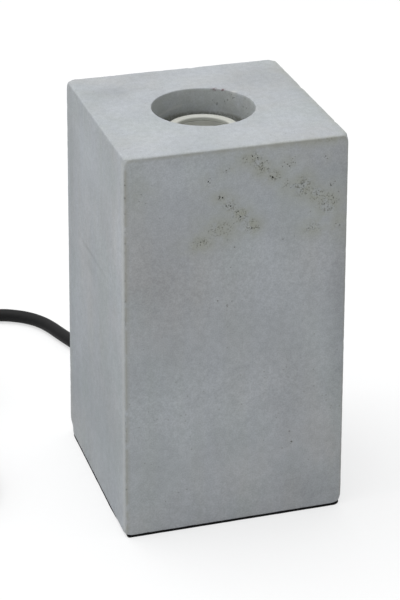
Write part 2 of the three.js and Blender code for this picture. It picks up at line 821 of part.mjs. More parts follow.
// ---------------------------------------------------------------- plug, from the rear of its body
function plugBody() {
  const face = plugFace / 2 - plugRound;
  const rear = plugRear / 2 - plugRound;
  const outline = new THREE.Shape();
  outline.moveTo(-rear, plugRound);
  outline.lineTo(rear, plugRound);
  outline.bezierCurveTo(rear + 3, 6, face, 12, face, plugLength * 0.62);
  outline.lineTo(face, plugLength - plugRound);
  outline.lineTo(-face, plugLength - plugRound);
  outline.lineTo(-face, plugLength * 0.62);
  outline.bezierCurveTo(-face, 12, -rear - 3, 6, -rear, plugRound);
  const body = new THREE.ExtrudeGeometry(outline, {
    depth: plugThickness - 2 * plugRound,
    bevelThickness: plugRound,
    bevelSize: plugRound,
    bevelSegments: 3,
    curveSegments: 6,
  }).translate(0, 0, plugRound);
  const guard = turned([
    [0, -plugGuard],
    [plugGuardTip / 2, -plugGuard],
    [plugGuardRoot / 2, 0],
    [plugGuardRoot / 2, plugRound + past],
    [0, plugRound + past],
  ], 20).rotateX(-Math.PI / 2).translate(0, 0, plugThickness / 2);
  const pinWays = [-1, 1].map((side) => {
    return atPin(disc(plugPinDiameter / 2 + seat, -plugPinDepth - seat, past, 12), side);
  });
  return cut(join(solidOf(body), guard), ...pinWays);
}

// Lays a turned form along the plug at one of its two pins, from the face of the body.
function atPin(form, side) {
  return form
    .rotateX(-Math.PI / 2)
    .translate((side * plugPinSpacing) / 2, plugLength, plugThickness / 2);
}

function plugPin(side) {
  const radius = plugPinDiameter / 2;
  return atPin(turned([
    [0, -plugPinDepth],
    [radius, -plugPinDepth],
    [radius, plugPinLength - 1.2],
    [radius - 0.5, plugPinLength - 0.3],
    [radius - 1.2, plugPinLength],
    [0, plugPinLength],
  ], 12), side);
}

// ---------------------------------------------------------------- wires inside the cap
function core(side) {
  const gap = coreDiameter / 2 + seat;
  return cordAlong([
    [side * gap, 0, tubeTopZ + 1.2],
    [side * gap, -1.4, tubeTopZ + 2.6],
    [side * (gap + 2), -5, tubeTopZ + 4.6],
    [side * (terminalMiddle - 2.4), -8.4, wireZ - 2.2],
    [side * terminalMiddle, -8.4, wireZ - 0.2],
    [side * terminalMiddle, -5.2, wireZ],
    [side * terminalMiddle, 0, wireZ],
  ], coreDiameter, 6, 3);
}

// ---------------------------------------------------------------- the assembly
const lamp = new THREE.Group();

function add(group, name, form, material) {
  const geometry = form instanceof THREE.BufferGeometry ? form : geometryOf(form);
  const mesh = new THREE.Mesh(geometry, material);
  mesh.name = name;
  group.add(mesh);
}

function groupAt(parent, x, y, z = 0) {
  const group = new THREE.Group();
  group.position.set(x, y, z);
  parent.add(group);
  return group;
}

add(lamp, 'concrete_block', concreteBlock(), concrete);
add(lamp, 'base_pad', basePad(), blackRubber);

add(lamp, 'holder_skirt', holderSkirt(), porcelain);
add(lamp, 'holder_cap', holderCap(), porcelain);
add(lamp, 'holder_insert', holderInsert(), porcelain);
add(lamp, 'screw_shell', screwShell(), nickel);
add(lamp, 'centre_contact', centreContact(), brass);
add(lamp, 'terminal_live', terminalLive(), brass);
add(lamp, 'terminal_neutral', terminalNeutral(), brass);
add(lamp, 'terminal_screw_live', terminalScrewOn(1), steel);
add(lamp, 'terminal_screw_neutral', terminalScrewOn(-1), steel);
add(lamp, 'grub_screw', grubScrew(), steel);

add(lamp, 'threaded_tube', threadedTube(), steel);
add(lamp, 'well_washer', washer(capFootZ - seat), steel);
add(lamp, 'hollow_washer', washer(hollowTopZ - seat), steel);
add(lamp, 'tube_nut', tubeNut(), steel);

add(lamp, 'cord_inner', cordAlong(innerRoute, cordDiameter, 8, cordStep), blackRubber);
add(lamp, 'core_live', core(1), brownCore);
add(lamp, 'core_neutral', core(-1), blueCore);
add(lamp, 'cord_relief', cordRelief(), blackRubber);
add(lamp, 'cord_lead', cordAlong(leadRoute, cordDiameter, cordSides, cordStep), blackRubber);

const inlineSwitch = groupAt(lamp, switchX, switchY);
add(inlineSwitch, 'switch_base', switchBase(), blackPlastic);
add(inlineSwitch, 'switch_cover', switchCover(), blackPlastic);
for (const [end, place] of [[-1, 'near'], [1, 'far']]) {
  add(inlineSwitch, `switch_screw_${place}`, switchScrew(end), steel);
  add(inlineSwitch, `switch_terminal_${place}`, switchTerminal(end), brass);
}
const rocker = groupAt(inlineSwitch, 0, 0, pivotHeight);
rocker.rotation.x = THREE.MathUtils.degToRad(-rockerTilt);
add(rocker, 'switch_rocker', switchRocker(), blackPlastic);

add(lamp, 'cord_run', cordAlong(runRoute, cordDiameter, cordSides, cordStep), blackRubber);
const coil = groupAt(lamp, coilX, coilY);
add(coil, 'cord_coil', cordCoil(), blackRubber);
add(coil, 'cord_tie', cordTie(), blackRubber);
add(lamp, 'cord_tail', cordAlong(tailRoute, cordDiameter, cordSides, cordStep), blackRubber);

const plug = groupAt(lamp, plugX, plugY);
add(plug, 'plug_body', plugBody(), blackPlastic);
add(plug, 'plug_pin_left', plugPin(-1), nickel);
add(plug, 'plug_pin_right', plugPin(1), nickel);

export default lamp;
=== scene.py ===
import math
import random
from math import cos, sin

import bmesh
import bpy
import numpy as np
from mathutils import Euler, Matrix, Vector, noise


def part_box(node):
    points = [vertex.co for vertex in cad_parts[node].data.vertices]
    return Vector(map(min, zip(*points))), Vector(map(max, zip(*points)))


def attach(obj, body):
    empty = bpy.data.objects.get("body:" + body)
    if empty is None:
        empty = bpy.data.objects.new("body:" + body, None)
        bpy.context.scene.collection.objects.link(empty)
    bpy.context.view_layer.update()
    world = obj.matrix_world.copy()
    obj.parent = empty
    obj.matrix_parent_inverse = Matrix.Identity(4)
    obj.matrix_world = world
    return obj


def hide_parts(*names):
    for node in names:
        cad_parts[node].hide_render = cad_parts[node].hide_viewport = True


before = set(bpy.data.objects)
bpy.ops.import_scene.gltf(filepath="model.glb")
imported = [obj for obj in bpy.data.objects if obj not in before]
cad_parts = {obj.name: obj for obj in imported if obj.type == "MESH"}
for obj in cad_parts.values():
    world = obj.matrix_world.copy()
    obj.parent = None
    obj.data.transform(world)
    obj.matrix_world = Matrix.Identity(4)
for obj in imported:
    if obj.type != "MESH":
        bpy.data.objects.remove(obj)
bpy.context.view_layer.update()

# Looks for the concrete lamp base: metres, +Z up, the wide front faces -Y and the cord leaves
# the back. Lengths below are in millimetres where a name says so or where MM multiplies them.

MM = 0.001
TAU = 2 * math.pi

# ------------------------------------------------------------------ sizes, in millimetres
BLOCK_FOOT = 112.8  # side at the foot
BLOCK_TOP = 108.8  # side at the top
CORNER = 1.3  # upright edges
EDGE = 0.8  # rounding of the top and bottom edges
WELL = 50
WELL_CHAMFER = 0.4
WELL_FLOOR = 134.5
HOLLOW = 60
HOLLOW_TOP = 60
HOLLOW_FILLET = 6
CENTRE_HOLE = 11
CORD_HOLE = 12
CORD_HEIGHT = 14
FLEX = 7.4  # cord diameter
PAD_SETTLED = 0.9  # how far the heavy cast settles into the soft pad
FOOT_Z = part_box("concrete_block")[0].z / MM - PAD_SETTLED
TOP_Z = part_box("concrete_block")[1].z / MM
RIM_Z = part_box("holder_skirt")[1].z / MM
SKIRT_FOOT_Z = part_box("holder_skirt")[0].z / MM
SHELL_FOOT_Z, SHELL_TOP_Z = 165.2, 187.2  # the screw shell
SHEET = 0.4  # its thickness
LIP_INSIDE = 13.8  # radius within which the holder's porcelain is painted grey, as painted shade inside the mouth
BACK_Y = 56.28  # back face at the height of the cord
SWITCH = Vector((-110.5, 116.5, 0))
CASE = (14, 30, 10)  # the switch's case: half widths and corner
WINDOW = (6.1, 11.7, 0.8)  # its window, the same way
PIVOT_Z = 14  # the rocker's pin
ROCKER_TIP = 8  # degrees by which the rocker tips to either side
COIL = Vector((-157, 18, 0))
TIE_ANGLE = 235  # where the strap holds the coil, in degrees
PLUG = Vector((-187, 128, 6.85))  # middle of the plug's rear
PLUG_LENGTH, PLUG_HALF = 36, 17.65  # its length and half its width at the face


def linked(name, data):
    """A new object in the scene."""
    made = bpy.data.objects.new(name, data)
    bpy.context.scene.collection.objects.link(made)
    return made


def radians(*degrees):
    return [math.radians(angle) for angle in degrees]


def polar(radius, angle, height):
    return (radius * cos(angle), radius * sin(angle), height)


# ------------------------------------------------------------------ camera
def place_camera():
    """The eye stands in front, to the left and above, and is turned by a slight roll."""
    azimuth, elevation, roll = radians(-17.1355, 26.191, 0.2385)
    back = Vector(polar(cos(elevation), azimuth - math.pi / 2, sin(elevation)))
    level = Vector((cos(azimuth), sin(azimuth), 0))
    upright = back.cross(level)
    right = level * cos(roll) + upright * sin(roll)
    up = upright * cos(roll) - level * sin(roll)
    lens = bpy.data.cameras.new("camera")
    lens.sensor_fit, lens.sensor_height, lens.lens = "VERTICAL", 36, 127.2
    lens.clip_start, lens.clip_end = 0.05, 30
    camera = linked("camera", lens)
    turn = Matrix((right, up, back)).transposed().to_4x4()
    camera.matrix_world = Matrix.Translation((-0.28237, -0.91181, 0.56588)) @ turn
    bpy.context.scene.camera = camera


place_camera()

# ------------------------------------------------------------------ cord routes, in millimetres
LEAD_ROUTE = [
    (0, 57, 14), (0, 69, 14), (0, 81.5, 14), (0, 87, 13.8), (-1.2, 94.5, 12.4), (-4.3, 102.6, 9.9),
    (-8.8, 110.3, 7.2), (-13.9, 117.4, 5.2), (-18.8, 124, 4.2), (-23.4, 130.6, 3.8),
    (-27, 137.4, 3.8), (-30, 143.9, 3.8), (-32.6, 150.5, 3.8), (-35.1, 157.2, 3.8),
    (-37.5, 164, 3.8), (-40, 171, 3.8), (-43.9, 178.8, 3.8), (-49.4, 185.5, 3.8),
    (-56.3, 190.7, 3.8), (-64.2, 194.3, 3.8), (-76, 196, 3.8), (-84.9, 194.8, 3.8),
    (-93.3, 191.4, 3.8), (-100.4, 186, 4.2), (-105.9, 179, 5.1), (-109.3, 170.6, 6.5),
    (-110.5, 161.7, 7.8), (-110.5, 152.6, 8.5), (-110.5, 144.5, 8.5), (-110.5, 136, 8.5),
]
RUN_ROUTE = [
    (-110.5, 97, 8.5), (-110.5, 88.5, 8.5), (-110.5, 81.5, 8.5), (-110.6, 74.5, 8.2),
    (-111, 66.8, 7.3), (-111.6, 59, 6.1), (-112, 51.6, 5.2), (-112.1, 46.6, 4.8),
    (-112.1, 43.6, 4.8), (-112.1, 31, 4.8),
]
TAIL_ROUTE = [
    (-201.9, 31, 12.2), (-201.9, 43.6, 12.2), (-201.9, 52, 11.2), (-200.9, 61, 8.3),
    (-198.7, 70, 5.4), (-195.8, 79, 4), (-192.6, 88, 3.8), (-189.8, 97, 4.2),
    (-187.7, 106, 5.7), (-187, 111.6, 6.6), (-187, 118, 6.85), (-187, 124, 6.85),
]
INNER_ROUTE = [
    (0, 56.5, 14), (0, 44, 14), (0, 36, 14), (0, 28, 14), (0, 17.3, 16.1), (0, 8.2, 22.2),
    (0, 2.1, 31.3), (0, 0, 42), (0, 0, 60), (0, 0, 104), (0, 0, 147.2),
]


def eased(value, start, end):
    share = min(1, max(0, (value - start) / (end - start)))
    return (1 - cos(math.pi * share)) / 2


def winding():
    """Centre line of the five and a half turns, clockwise from above: three turns inwards on
    the floor, then outwards on top of them. Each step in, up or out is spread over an arc."""
    outer, low, pitch, step = 44.9, 4.8, FLEX, 15
    points = []
    for wound in range(0, 133 * step, step):
        inward = eased(wound, 240, 330) + eased(wound, 600, 690)
        outward = eased(wound, 1270, 1360) + eased(wound, 1630, 1720)
        radius = outer - pitch * (inward - outward)
        height = low + pitch * eased(wound, 950, 1010)
        points.append(tuple(COIL + Vector(polar(radius, -math.radians(wound), height))))
    return points


def flex_along(name, route):
    curve = bpy.data.curves.new(name, "CURVE")
    curve.dimensions = "3D"
    curve.bevel_depth = FLEX / 2 * MM
    curve.bevel_resolution = 5
    curve.resolution_u = 5
    curve.use_fill_caps = True
    spline = curve.splines.new("BEZIER")
    spline.bezier_points.add(len(route) - 1)
    for knot, point in zip(spline.bezier_points, route):
        knot.co = Vector(point) * MM
        knot.handle_left_type = knot.handle_right_type = "AUTO"
    return linked(name, curve)


flex_to_switch = flex_along("flex_to_switch", LEAD_ROUTE)
flex_to_plug = flex_along("flex_to_plug", RUN_ROUTE + winding() + TAIL_ROUTE)


# ------------------------------------------------------------------ node helpers
def add_node(tree, kind, inputs=None, **settings):
    """Adds a node. An input given as a socket is linked, and any other value is set."""
    made = tree.nodes.new(kind)
    for name, value in settings.items():
        setattr(made, name, value)
    for key, value in (inputs or {}).items():
        if isinstance(value, bpy.types.NodeSocket):
            tree.links.new(value, made.inputs[key])
        else:
            made.inputs[key].default_value = value
    return made


def first_of(tree, kind, inputs=None, **settings):
    """The first output of a new node."""
    return add_node(tree, kind, inputs, **settings).outputs[0]


def maths(tree, operation, a, b=0.0, clamp=False):
    return first_of(tree, "ShaderNodeMath", {0: a, 1: b}, operation=operation, use_clamp=clamp)


def vectors(tree, operation, a, b=None):
    inputs = {0: a} if b is None else {0: a, 1: b}
    return add_node(tree, "ShaderNodeVectorMath", inputs, operation=operation).outputs


def spread(tree, value, low, high, to_low=0.0, to_high=1.0):
    """Maps low..high smoothly to to_low..to_high and holds it outside."""
    inputs = {"Value": value, "From Min": low, "From Max": high, "To Min": to_low, "To Max": to_high}
    return first_of(tree, "ShaderNodeMapRange", inputs, interpolation_type="SMOOTHSTEP")


def mixed(tree, factor, a, b, blend="MIX"):
    settings = {"data_type": "RGBA", "blend_type": blend}
    return add_node(tree, "ShaderNodeMix", {0: factor, 6: a, 7: b}, **settings).outputs[2]


def grain_of(tree, where, scale, detail):
    """Smooth noise from 0 to 1."""
    return first_of(tree, "ShaderNodeTexNoise", {"Vector": where, "Scale": scale, "Detail": detail})


def bumped(tree, height, strength, distance):
    inputs = {"Strength": strength, "Distance": distance, "Height": height}
    return first_of(tree, "ShaderNodeBump", inputs)


def placed_group(tree, group, inputs):
    return add_node(tree, "ShaderNodeGroup", inputs, node_tree=group).outputs


def emptied(block):
    """The node tree of a material or world, cleared."""
    block.use_nodes = True
    block.node_tree.nodes.clear()
    return block.node_tree


def paint(red, green, blue):
    """A colour from its 0 to 255 values."""
    def linear(level):
        share = level / 255
        return share / 12.92 if share <= 0.04045 else ((share + 0.055) / 1.055) ** 2.4
    return (linear(red), linear(green), linear(blue), 1.0)


def new_group(name, inputs, outputs):
    group = bpy.data.node_groups.new(name, "ShaderNodeTree")
    for label, kind, default in inputs:
        socket = group.interface.new_socket(label, in_out="INPUT", socket_type=kind)
        if default is not None:
            socket.default_value = default
    for label, kind in outputs:
        group.interface.new_socket(label, in_out="OUTPUT", socket_type=kind)
    return group, add_node(group, "NodeGroupInput").outputs, add_node(group, "NodeGroupOutput").inputs


VALUE, VECTOR = "NodeSocketFloat", "NodeSocketVector"


def cloud_group():
    """Soft blotches: 0 to 1 between two levels of a noise."""
    group, given, result = new_group(
        "soft_blotches",
        [("Place", VECTOR, None), ("Scale", VALUE, 20.0), ("Detail", VALUE, 3.0),
         ("Low", VALUE, 0.4), ("High", VALUE, 0.6)],
        [("Mask", VALUE)],
    )
    texture = grain_of(group, given["Place"], given["Scale"], given["Detail"])
    group.links.new(spread(group, texture, given["Low"], given["High"]), result["Mask"])
    return group


def pinhole_group():
    """Pinholes: a share of the cells of a grid each hold one small round spot."""
    group, given, result = new_group(
        "pinholes",
        [("Place", VECTOR, None), ("Scale", VALUE, 300.0), ("Size", VALUE, 0.25),
         ("Share", VALUE, 0.3)],
        [("Mask", VALUE)],
    )
    cells = add_node(group, "ShaderNodeTexVoronoi", {
        "Vector": given["Place"], "Scale": given["Scale"]}).outputs
    kept = maths(group, "LESS_THAN", cells["Color"], given["Share"])
    rim = maths(group, "MULTIPLY", given["Size"], 0.45)
    spot = spread(group, cells["Distance"], given["Size"], rim)
    group.links.new(maths(group, "MULTIPLY", spot, kept), result["Mask"])
    return group


def skin_group():
    """Moulded or rolled skin: a fine grain as a normal and a little change of roughness."""
    group, given, result = new_group(
        "fine_skin",
        [("Place", VECTOR, None), ("Grain", VALUE, 3000.0), ("Depth", VALUE, 0.2),
         ("Roughness", VALUE, 0.5), ("Change", VALUE, 0.1)],
        [("Roughness", VALUE), ("Shade", VALUE), ("Normal", VECTOR)],
    )
    grain = grain_of(group, given["Place"], given["Grain"], 2.0)
    handled = grain_of(group, given["Place"], 90.0, 4.0)
    swing = maths(group, "MULTIPLY", maths(group, "SUBTRACT", handled, 0.5), given["Change"])
    rough = maths(group, "ADD", given["Roughness"], maths(group, "MULTIPLY", swing, 2.0))
    group.links.new(rough, result["Roughness"])
    group.links.new(handled, result["Shade"])
    group.links.new(bumped(group, grain, given["Depth"], 0.0001), result["Normal"])
    return group


SOFT_BLOTCHES = cloud_group()
PINHOLES = pinhole_group()
FINE_SKIN = skin_group()


def new_finish(name, **sockets):
    """An empty material with its shader: plain values go on the shader's own sockets."""
    material = bpy.data.materials.new(name)
    tree = emptied(material)
    surface = add_node(tree, "ShaderNodeBsdfPrincipled")
    for label, value in sockets.items():
        surface.inputs[label.replace("_", " ")].default_value = value
    add_node(tree, "ShaderNodeOutputMaterial", {"Surface": surface.outputs[0]})
    place = add_node(tree, "ShaderNodeTexCoord").outputs["Object"]
    return material, tree, surface.inputs, place


def dress(tree, surface, colour, roughness, normal):
    for label, socket in (("Base Color", colour), ("Roughness", roughness), ("Normal", normal)):
        tree.links.new(socket, surface[label])


# ------------------------------------------------------------------ finishes
def concrete_finish():
    material, tree, surface, place = new_finish("cast_concrete")

    def blotches(scale, detail, low, high, where=place):
        return placed_group(tree, SOFT_BLOTCHES, {
            "Place": where, "Scale": scale, "Detail": detail, "Low": low, "High": high})["Mask"]

    def mask(name):
        return add_node(tree, "ShaderNodeAttribute", attribute_name=name).outputs["Fac"]

    def times(a, b):
        return maths(tree, "MULTIPLY", a, b)

    def over(factor, *colour):
        """The grey so far with a colour laid over a part of it."""
        return mixed(tree, factor, grey, paint(*colour))

    # Cement skin: cool grey with slow drifts to a neutral and a faintly green grey.
    upright = first_of(tree, "ShaderNodeMapping", {"Vector": place, "Scale": (1, 1, 0.14)})
    grey = mixed(tree, blotches(15.0, 4.0, 0.32, 0.68), paint(169, 173, 176), paint(174, 174, 174))
    grey = over(times(blotches(30.0, 3.0, 0.4, 0.66), 0.6), 164, 171, 173)
    grey = over(times(blotches(95.0, 3.0, 0.3, 0.7, upright), 0.5), 171, 175, 181)
    # Lighter and darker zones, with painted light and shade in the well, clots of paste and fine sand.
    speck = grain_of(tree, place, 1500.0, 3.0)
    tone_and_well_light = spread(tree, mask("tone_and_well_light"), 0.0, 1.0, 0.8, 1.2)
    cloudy = spread(tree, blotches(48.0, 5.0, 0.25, 0.75), 0.0, 1.0, 0.965, 1.03)
    clots = spread(tree, grain_of(tree, place, 330.0, 3.0), 0.3, 0.7, 0.95, 1.045)
    fine = spread(tree, speck, 0.3, 0.7, 0.9, 1.08)
    grey = mixed(tree, 1.0, grey, times(times(tone_and_well_light, cloudy), times(clots, fine)), "MULTIPLY")
    # Olive stains round the air voids and a band of painted shade under the front's top edge, the
    # grey-brown line where an edge has worn, pale scrapes.
    stain_and_brow_shade = mask("stain_and_brow_shade")
    ragged = spread(tree, blotches(150.0, 4.0, 0.34, 0.56), 0.0, 1.0, 0.4, 1.0)
    grey = over(times(times(stain_and_brow_shade, ragged), 0.9), 159, 161, 150)
    grey = over(times(mask("edge"), blotches(190.0, 3.0, 0.28, 0.52)), 149, 148, 138)
    grey = over(mask("pale"), 188, 189, 187)
    # Pinholes: a few everywhere and many in the stained patches. Then grime in the pits, painted shade
    # at the foot of the well, and rust.
    holes = placed_group(tree, PINHOLES, {
        "Place": place, "Scale": 430.0, "Size": 0.24, "Share": 0.14})["Mask"]
    dense = times(blotches(1150.0, 2.0, 0.5, 0.6), spread(tree, stain_and_brow_shade, 0.42, 0.8))
    dense = times(dense, blotches(420.0, 2.0, 0.36, 0.56))
    dark = maths(tree, "MAXIMUM", times(holes, 0.4), times(dense, 0.75))
    grey = over(dark, 118, 119, 110)
    broken = blotches(700.0, 2.0, 0.38, 0.56)
    grey = over(times(mask("pit_and_well_shade"), spread(tree, broken, 0.0, 1.0, 0.25, 0.9)), 122, 123, 114)
    grey = over(times(mask("rust"), broken), 108, 84, 86)
    height = maths(tree, "SUBTRACT", grain_of(tree, place, 900.0, 4.0), times(dark, 1.5))
    rough = spread(tree, speck, 0.3, 0.7, 0.82, 0.95)
    dress(tree, surface, grey, rough, bumped(tree, height, 0.25, 0.0002))
    return material


def fine_skin(tree, place, colour, second, roughness, change, grain, depth):
    """Colour, roughness and normal of a fine skin whose tone drifts between two colours."""
    skin = placed_group(tree, FINE_SKIN, {
        "Place": place, "Grain": grain, "Depth": depth, "Roughness": roughness, "Change": change})
    drift = mixed(tree, spread(tree, skin["Shade"], 0.35, 0.65), paint(*colour), paint(*second))
    return drift, skin["Roughness"], skin["Normal"]


def porcelain_finish():
    """Dull cream glaze, painted grey within the lip's radius of the axis: painted shade inside the
    holder's mouth.
    """
    material, tree, surface, place = new_finish(
        "glazed_porcelain", Specular_IOR_Level=0.35, Coat_Weight=0.08, Coat_Roughness=0.35)
    cream, rough, normal = fine_skin(
        tree, place, (194, 195, 188), (189, 189, 181), 0.5, 0.08, 500.0, 0.05)
    radius = vectors(tree, "LENGTH", vectors(tree, "MULTIPLY", place, (1, 1, 0))[0])["Value"]
    # Painted shade: grey within the lip's radius, where the mouth lies in shade.
    inside_shade = spread(tree, radius, LIP_INSIDE * MM, (LIP_INSIDE - 0.35) * MM)
    dress(tree, surface, mixed(tree, inside_shade, cream, paint(176, 178, 171)), rough, normal)
    return material


def skinned_finish(name, *skin, **sockets):
    """A moulded, drawn or plated finish: colours, roughness, its change, grain and depth."""
    material, tree, surface, place = new_finish(name, **sockets)
    dress(tree, surface, *fine_skin(tree, place, *skin))
    return material


def strap_finish():
    """Woven hook-and-loop strap: fine ribs along it crossed by a weave, from its own UV map."""
    material, tree, surface, _ = new_finish("woven_strap", Sheen_Weight=0.4)
    along = first_of(tree, "ShaderNodeUVMap", uv_map="strap")

    def threads(scale, direction):
        inputs = {"Vector": along, "Scale": scale, "Distortion": 0.4}
        return add_node(tree, "ShaderNodeTexWave", inputs, bands_direction=direction).outputs[1]

    weave = maths(tree, "MULTIPLY", threads(260.0, "X"), threads(200.0, "Y"))
    black = mixed(tree, weave, paint(14, 14, 15), paint(44, 44, 46))
    rough = spread(tree, weave, 0.0, 1.0, 0.95, 0.75)
    dress(tree, surface, black, rough, bumped(tree, weave, 0.6, 0.0003))
    return material


CONCRETE = concrete_finish()
PORCELAIN = porcelain_finish()
PAD_RUBBER = skinned_finish(
    "foot_rubber", (8, 8, 9), (15, 15, 16), 0.9, 0.06, 2500.0, 0.6, Specular_IOR_Level=0.2)
SHELL_METAL = skinned_finish(
    "nickel_plated_sheet", (209, 210, 205), (195, 196, 190), 0.55, 0.12, 1500.0, 0.15, Metallic=0.4)
BRASS = skinned_finish(
    "contact_brass", (196, 168, 98), (176, 146, 80), 0.32, 0.15, 1800.0, 0.15, Metallic=1.0)
ZINC = skinned_finish(
    "zinc_plated_steel", (176, 178, 180), (158, 160, 160), 0.36, 0.15, 1500.0, 0.2, Metallic=1.0)
FLEX_SHEATH = skinned_finish(
    "flex_sheath", (13, 13, 14), (19, 19, 20), 0.6, 0.12, 2600.0, 0.12, Specular_IOR_Level=0.2)
CORE_BROWN = skinned_finish("brown_core", (98, 62, 40), (84, 52, 34), 0.5, 0.1, 2600.0, 0.1)
CORE_BLUE = skinned_finish("blue_core", (44, 88, 152), (36, 74, 132), 0.5, 0.1, 2600.0, 0.1)
CASE_PLASTIC = skinned_finish("case_plastic", (24, 24, 26), (31, 31, 33), 0.46, 0.1, 2400.0, 0.35)
ROCKER_PLASTIC = skinned_finish(
    "rocker_plastic", (29, 29, 31), (36, 36, 38), 0.34, 0.08, 2800.0, 0.15)
PLUG_PLASTIC = skinned_finish("plug_plastic", (22, 22, 23), (29, 29, 30), 0.5, 0.1, 2200.0, 0.3)
PIN_NICKEL = skinned_finish(
    "pin_nickel", (205, 203, 196), (190, 188, 180), 0.2, 0.1, 1200.0, 0.08, Metallic=1.0)
STRAP = strap_finish()


# ------------------------------------------------------------------ mesh helpers
def skin(rows, closed=False):
    """Faces between rows of points that each run anticlockwise round the form. A row of one
    point is a pole, and closed joins the last row to the first."""
    vertices, rings = [], []
    for row in rows:
        rings.append(list(range(len(vertices), len(vertices) + len(row))))
        vertices += row
    pairs = list(zip(rings, rings[1:])) + ([(rings[-1], rings[0])] if closed else [])
    faces = []
    for low, high in pairs:
        count = max(len(low), len(high))
        for i in range(count):
            j = (i + 1) % count
            corners = [low[i % len(low)], low[j % len(low)], high[j % len(high)], high[i % len(high)]]
            corners = list(dict.fromkeys(corners))
            if len(corners) > 2:
                faces.append(corners)
    return vertices, faces


def as_piece(name, form, material, crease=35, place=None):
    """An object from (vertices in millimetres, faces), with its place in its mesh."""
    vertices, faces = form
    mesh = bpy.data.meshes.new(name)
    mesh.from_pydata([Vector(v) * MM for v in vertices], [], faces)
    if place is not None:
        mesh.transform(place)
    return finished(name, mesh, material, crease)


def finished(name, mesh, material, crease=35):
    mesh.materials.clear()
    mesh.materials.append(material)
    return sharpened(linked(name, mesh), crease)


def sharpened(piece, crease=35):
    """Shaded smooth, but sharp where it bends by more than the crease, in degrees."""
    piece.data.shade_smooth()
    piece.data.set_sharp_from_angle(angle=math.radians(crease))
    return piece


def circle(radius, height, count):
    """A level row of points, or the one point of a pole."""
    if radius == 0:
        return [(0, 0, height)]
    return [polar(radius, TAU * i / count, height) for i in range(count)]


def turned(profile, count=96, closed=False):
    """A turned form about Z from (radius, height) points that run anticlockwise."""
    return skin([circle(radius, height, count) for radius, height in profile], closed)


def rod(radius, start, end, count=24):
    """A turned rod or a cutter for a round way."""
    return turned([(0, start), (radius, start), (radius, end), (0, end)], count)


def arc(x, y, radius, start, end, pieces):
    """Points of an arc about (x, y), from one angle in degrees to the other."""
    angles = radians(*(start + (end - start) * i / pieces for i in range(pieces + 1)))
    return [(x + radius * cos(a), y + radius * sin(a)) for a in angles]


def rounded_outline(half_x, half_y, corners, straight=8, bend=6):
    """Points of a rounded rectangle, anticlockwise from its (+X, +Y) corner on. The corners have
    one radius, or four in the same order."""
    radii = corners if isinstance(corners, tuple) else [corners] * 4
    points = []
    for quarter, (sx, sy) in enumerate(((1, 1), (-1, 1), (-1, -1), (1, -1))):
        here, ahead = radii[quarter], radii[(quarter + 1) % 4]
        centre_x, centre_y = sx * (half_x - here), sy * (half_y - here)
        points += arc(centre_x, centre_y, here, 90 * quarter, 90 * quarter + 90, bend)
        if quarter % 2 == 0:
            start, end = (centre_x, sy * half_y), (-sx * (half_x - ahead), sy * half_y)
        else:
            start, end = (sx * half_x, centre_y), (sx * half_x, -sy * (half_y - ahead))
        points += [tuple(a + (b - a) * i / straight for a, b in zip(start, end))
                   for i in range(1, straight)]
    return points


def outline_row(half_x, half_y, corner, height, **counts):
    return [(x, y, height) for x, y in rounded_outline(half_x, half_y, corner, **counts)]


def modified(piece, kind, **settings):
    """Applies one modifier to a piece and keeps the result as its plain mesh."""
    modifier = piece.modifiers.new(kind.lower(), kind)
    for name, value in settings.items():
        setattr(modifier, name, value)
    return plain(piece)


def plain(piece):
    mesh = bpy.data.meshes.new_from_object(
        piece.evaluated_get(bpy.context.evaluated_depsgraph_get()))
    piece.modifiers.clear()
    piece.data = mesh
    return piece


def cut_by(piece, *cutters, operation="DIFFERENCE"):
    for cutter in cutters:
        modified(piece, "BOOLEAN", operation=operation, object=cutter, solver="MANIFOLD")
        bpy.data.objects.remove(cutter)
    return piece


LAY_ALONG_Y = Matrix.Rotation(-math.pi / 2, 4, "X")  # a form about Z then runs along +Y
LAY_ALONG_X = Matrix.Rotation(math.pi / 2, 4, "Y")


def moved(x, y, z):
    return Matrix.Translation(Vector((x, y, z)) * MM)


# ------------------------------------------------------------------ geometry nodes
def geometry_tree(name, sockets):
    """A geometry tree with the given inputs after its geometry, and those inputs."""
    tree = bpy.data.node_groups.new(name, "GeometryNodeTree")
    for label, kind in [("Geometry", "NodeSocketGeometry"), *sockets]:
        tree.interface.new_socket(label, in_out="INPUT", socket_type=kind)
    tree.interface.new_socket("Geometry", in_out="OUTPUT", socket_type="NodeSocketGeometry")
    return tree, add_node(tree, "NodeGroupInput").outputs


def copies_at(tree, inputs):
    copies = first_of(tree, "GeometryNodeInstanceOnPoints", inputs)
    return first_of(tree, "GeometryNodeRealizeInstances", {"Geometry": copies})


def give_out(tree, geometry, finish):
    painted = first_of(tree, "GeometryNodeSetMaterial", {"Geometry": geometry, "Material": finish})
    add_node(tree, "NodeGroupOutput", {"Geometry": painted})
    return tree


def ridge_tree():
    """A row of equal round-backed ridges: bars along X, set apart by a step."""
    tree, given = geometry_tree("ridge_row", [
        ("Count", "NodeSocketInt"), ("Start", VECTOR), ("Step", VECTOR), ("Length", VALUE),
        ("Radius", VALUE), ("Finish", "NodeSocketMaterial")])
    row = first_of(tree, "GeometryNodeMeshLine", {
        "Count": given["Count"], "Start Location": given["Start"], "Offset": given["Step"]})
    ends = [first_of(tree, "ShaderNodeCombineXYZ", {
        "X": maths(tree, "MULTIPLY", given["Length"], side)}) for side in (-0.5, 0.5)]
    line = first_of(tree, "GeometryNodeCurvePrimitiveLine", {"Start": ends[0], "End": ends[1]})
    ring = first_of(tree, "GeometryNodeCurvePrimitiveCircle", {
        "Resolution": 12, "Radius": given["Radius"]})
    bar = first_of(tree, "GeometryNodeCurveToMesh", {
        "Curve": line, "Profile Curve": ring, "Fill Caps": True})
    return give_out(tree, copies_at(tree, {"Points": row, "Instance": bar}), given["Finish"])


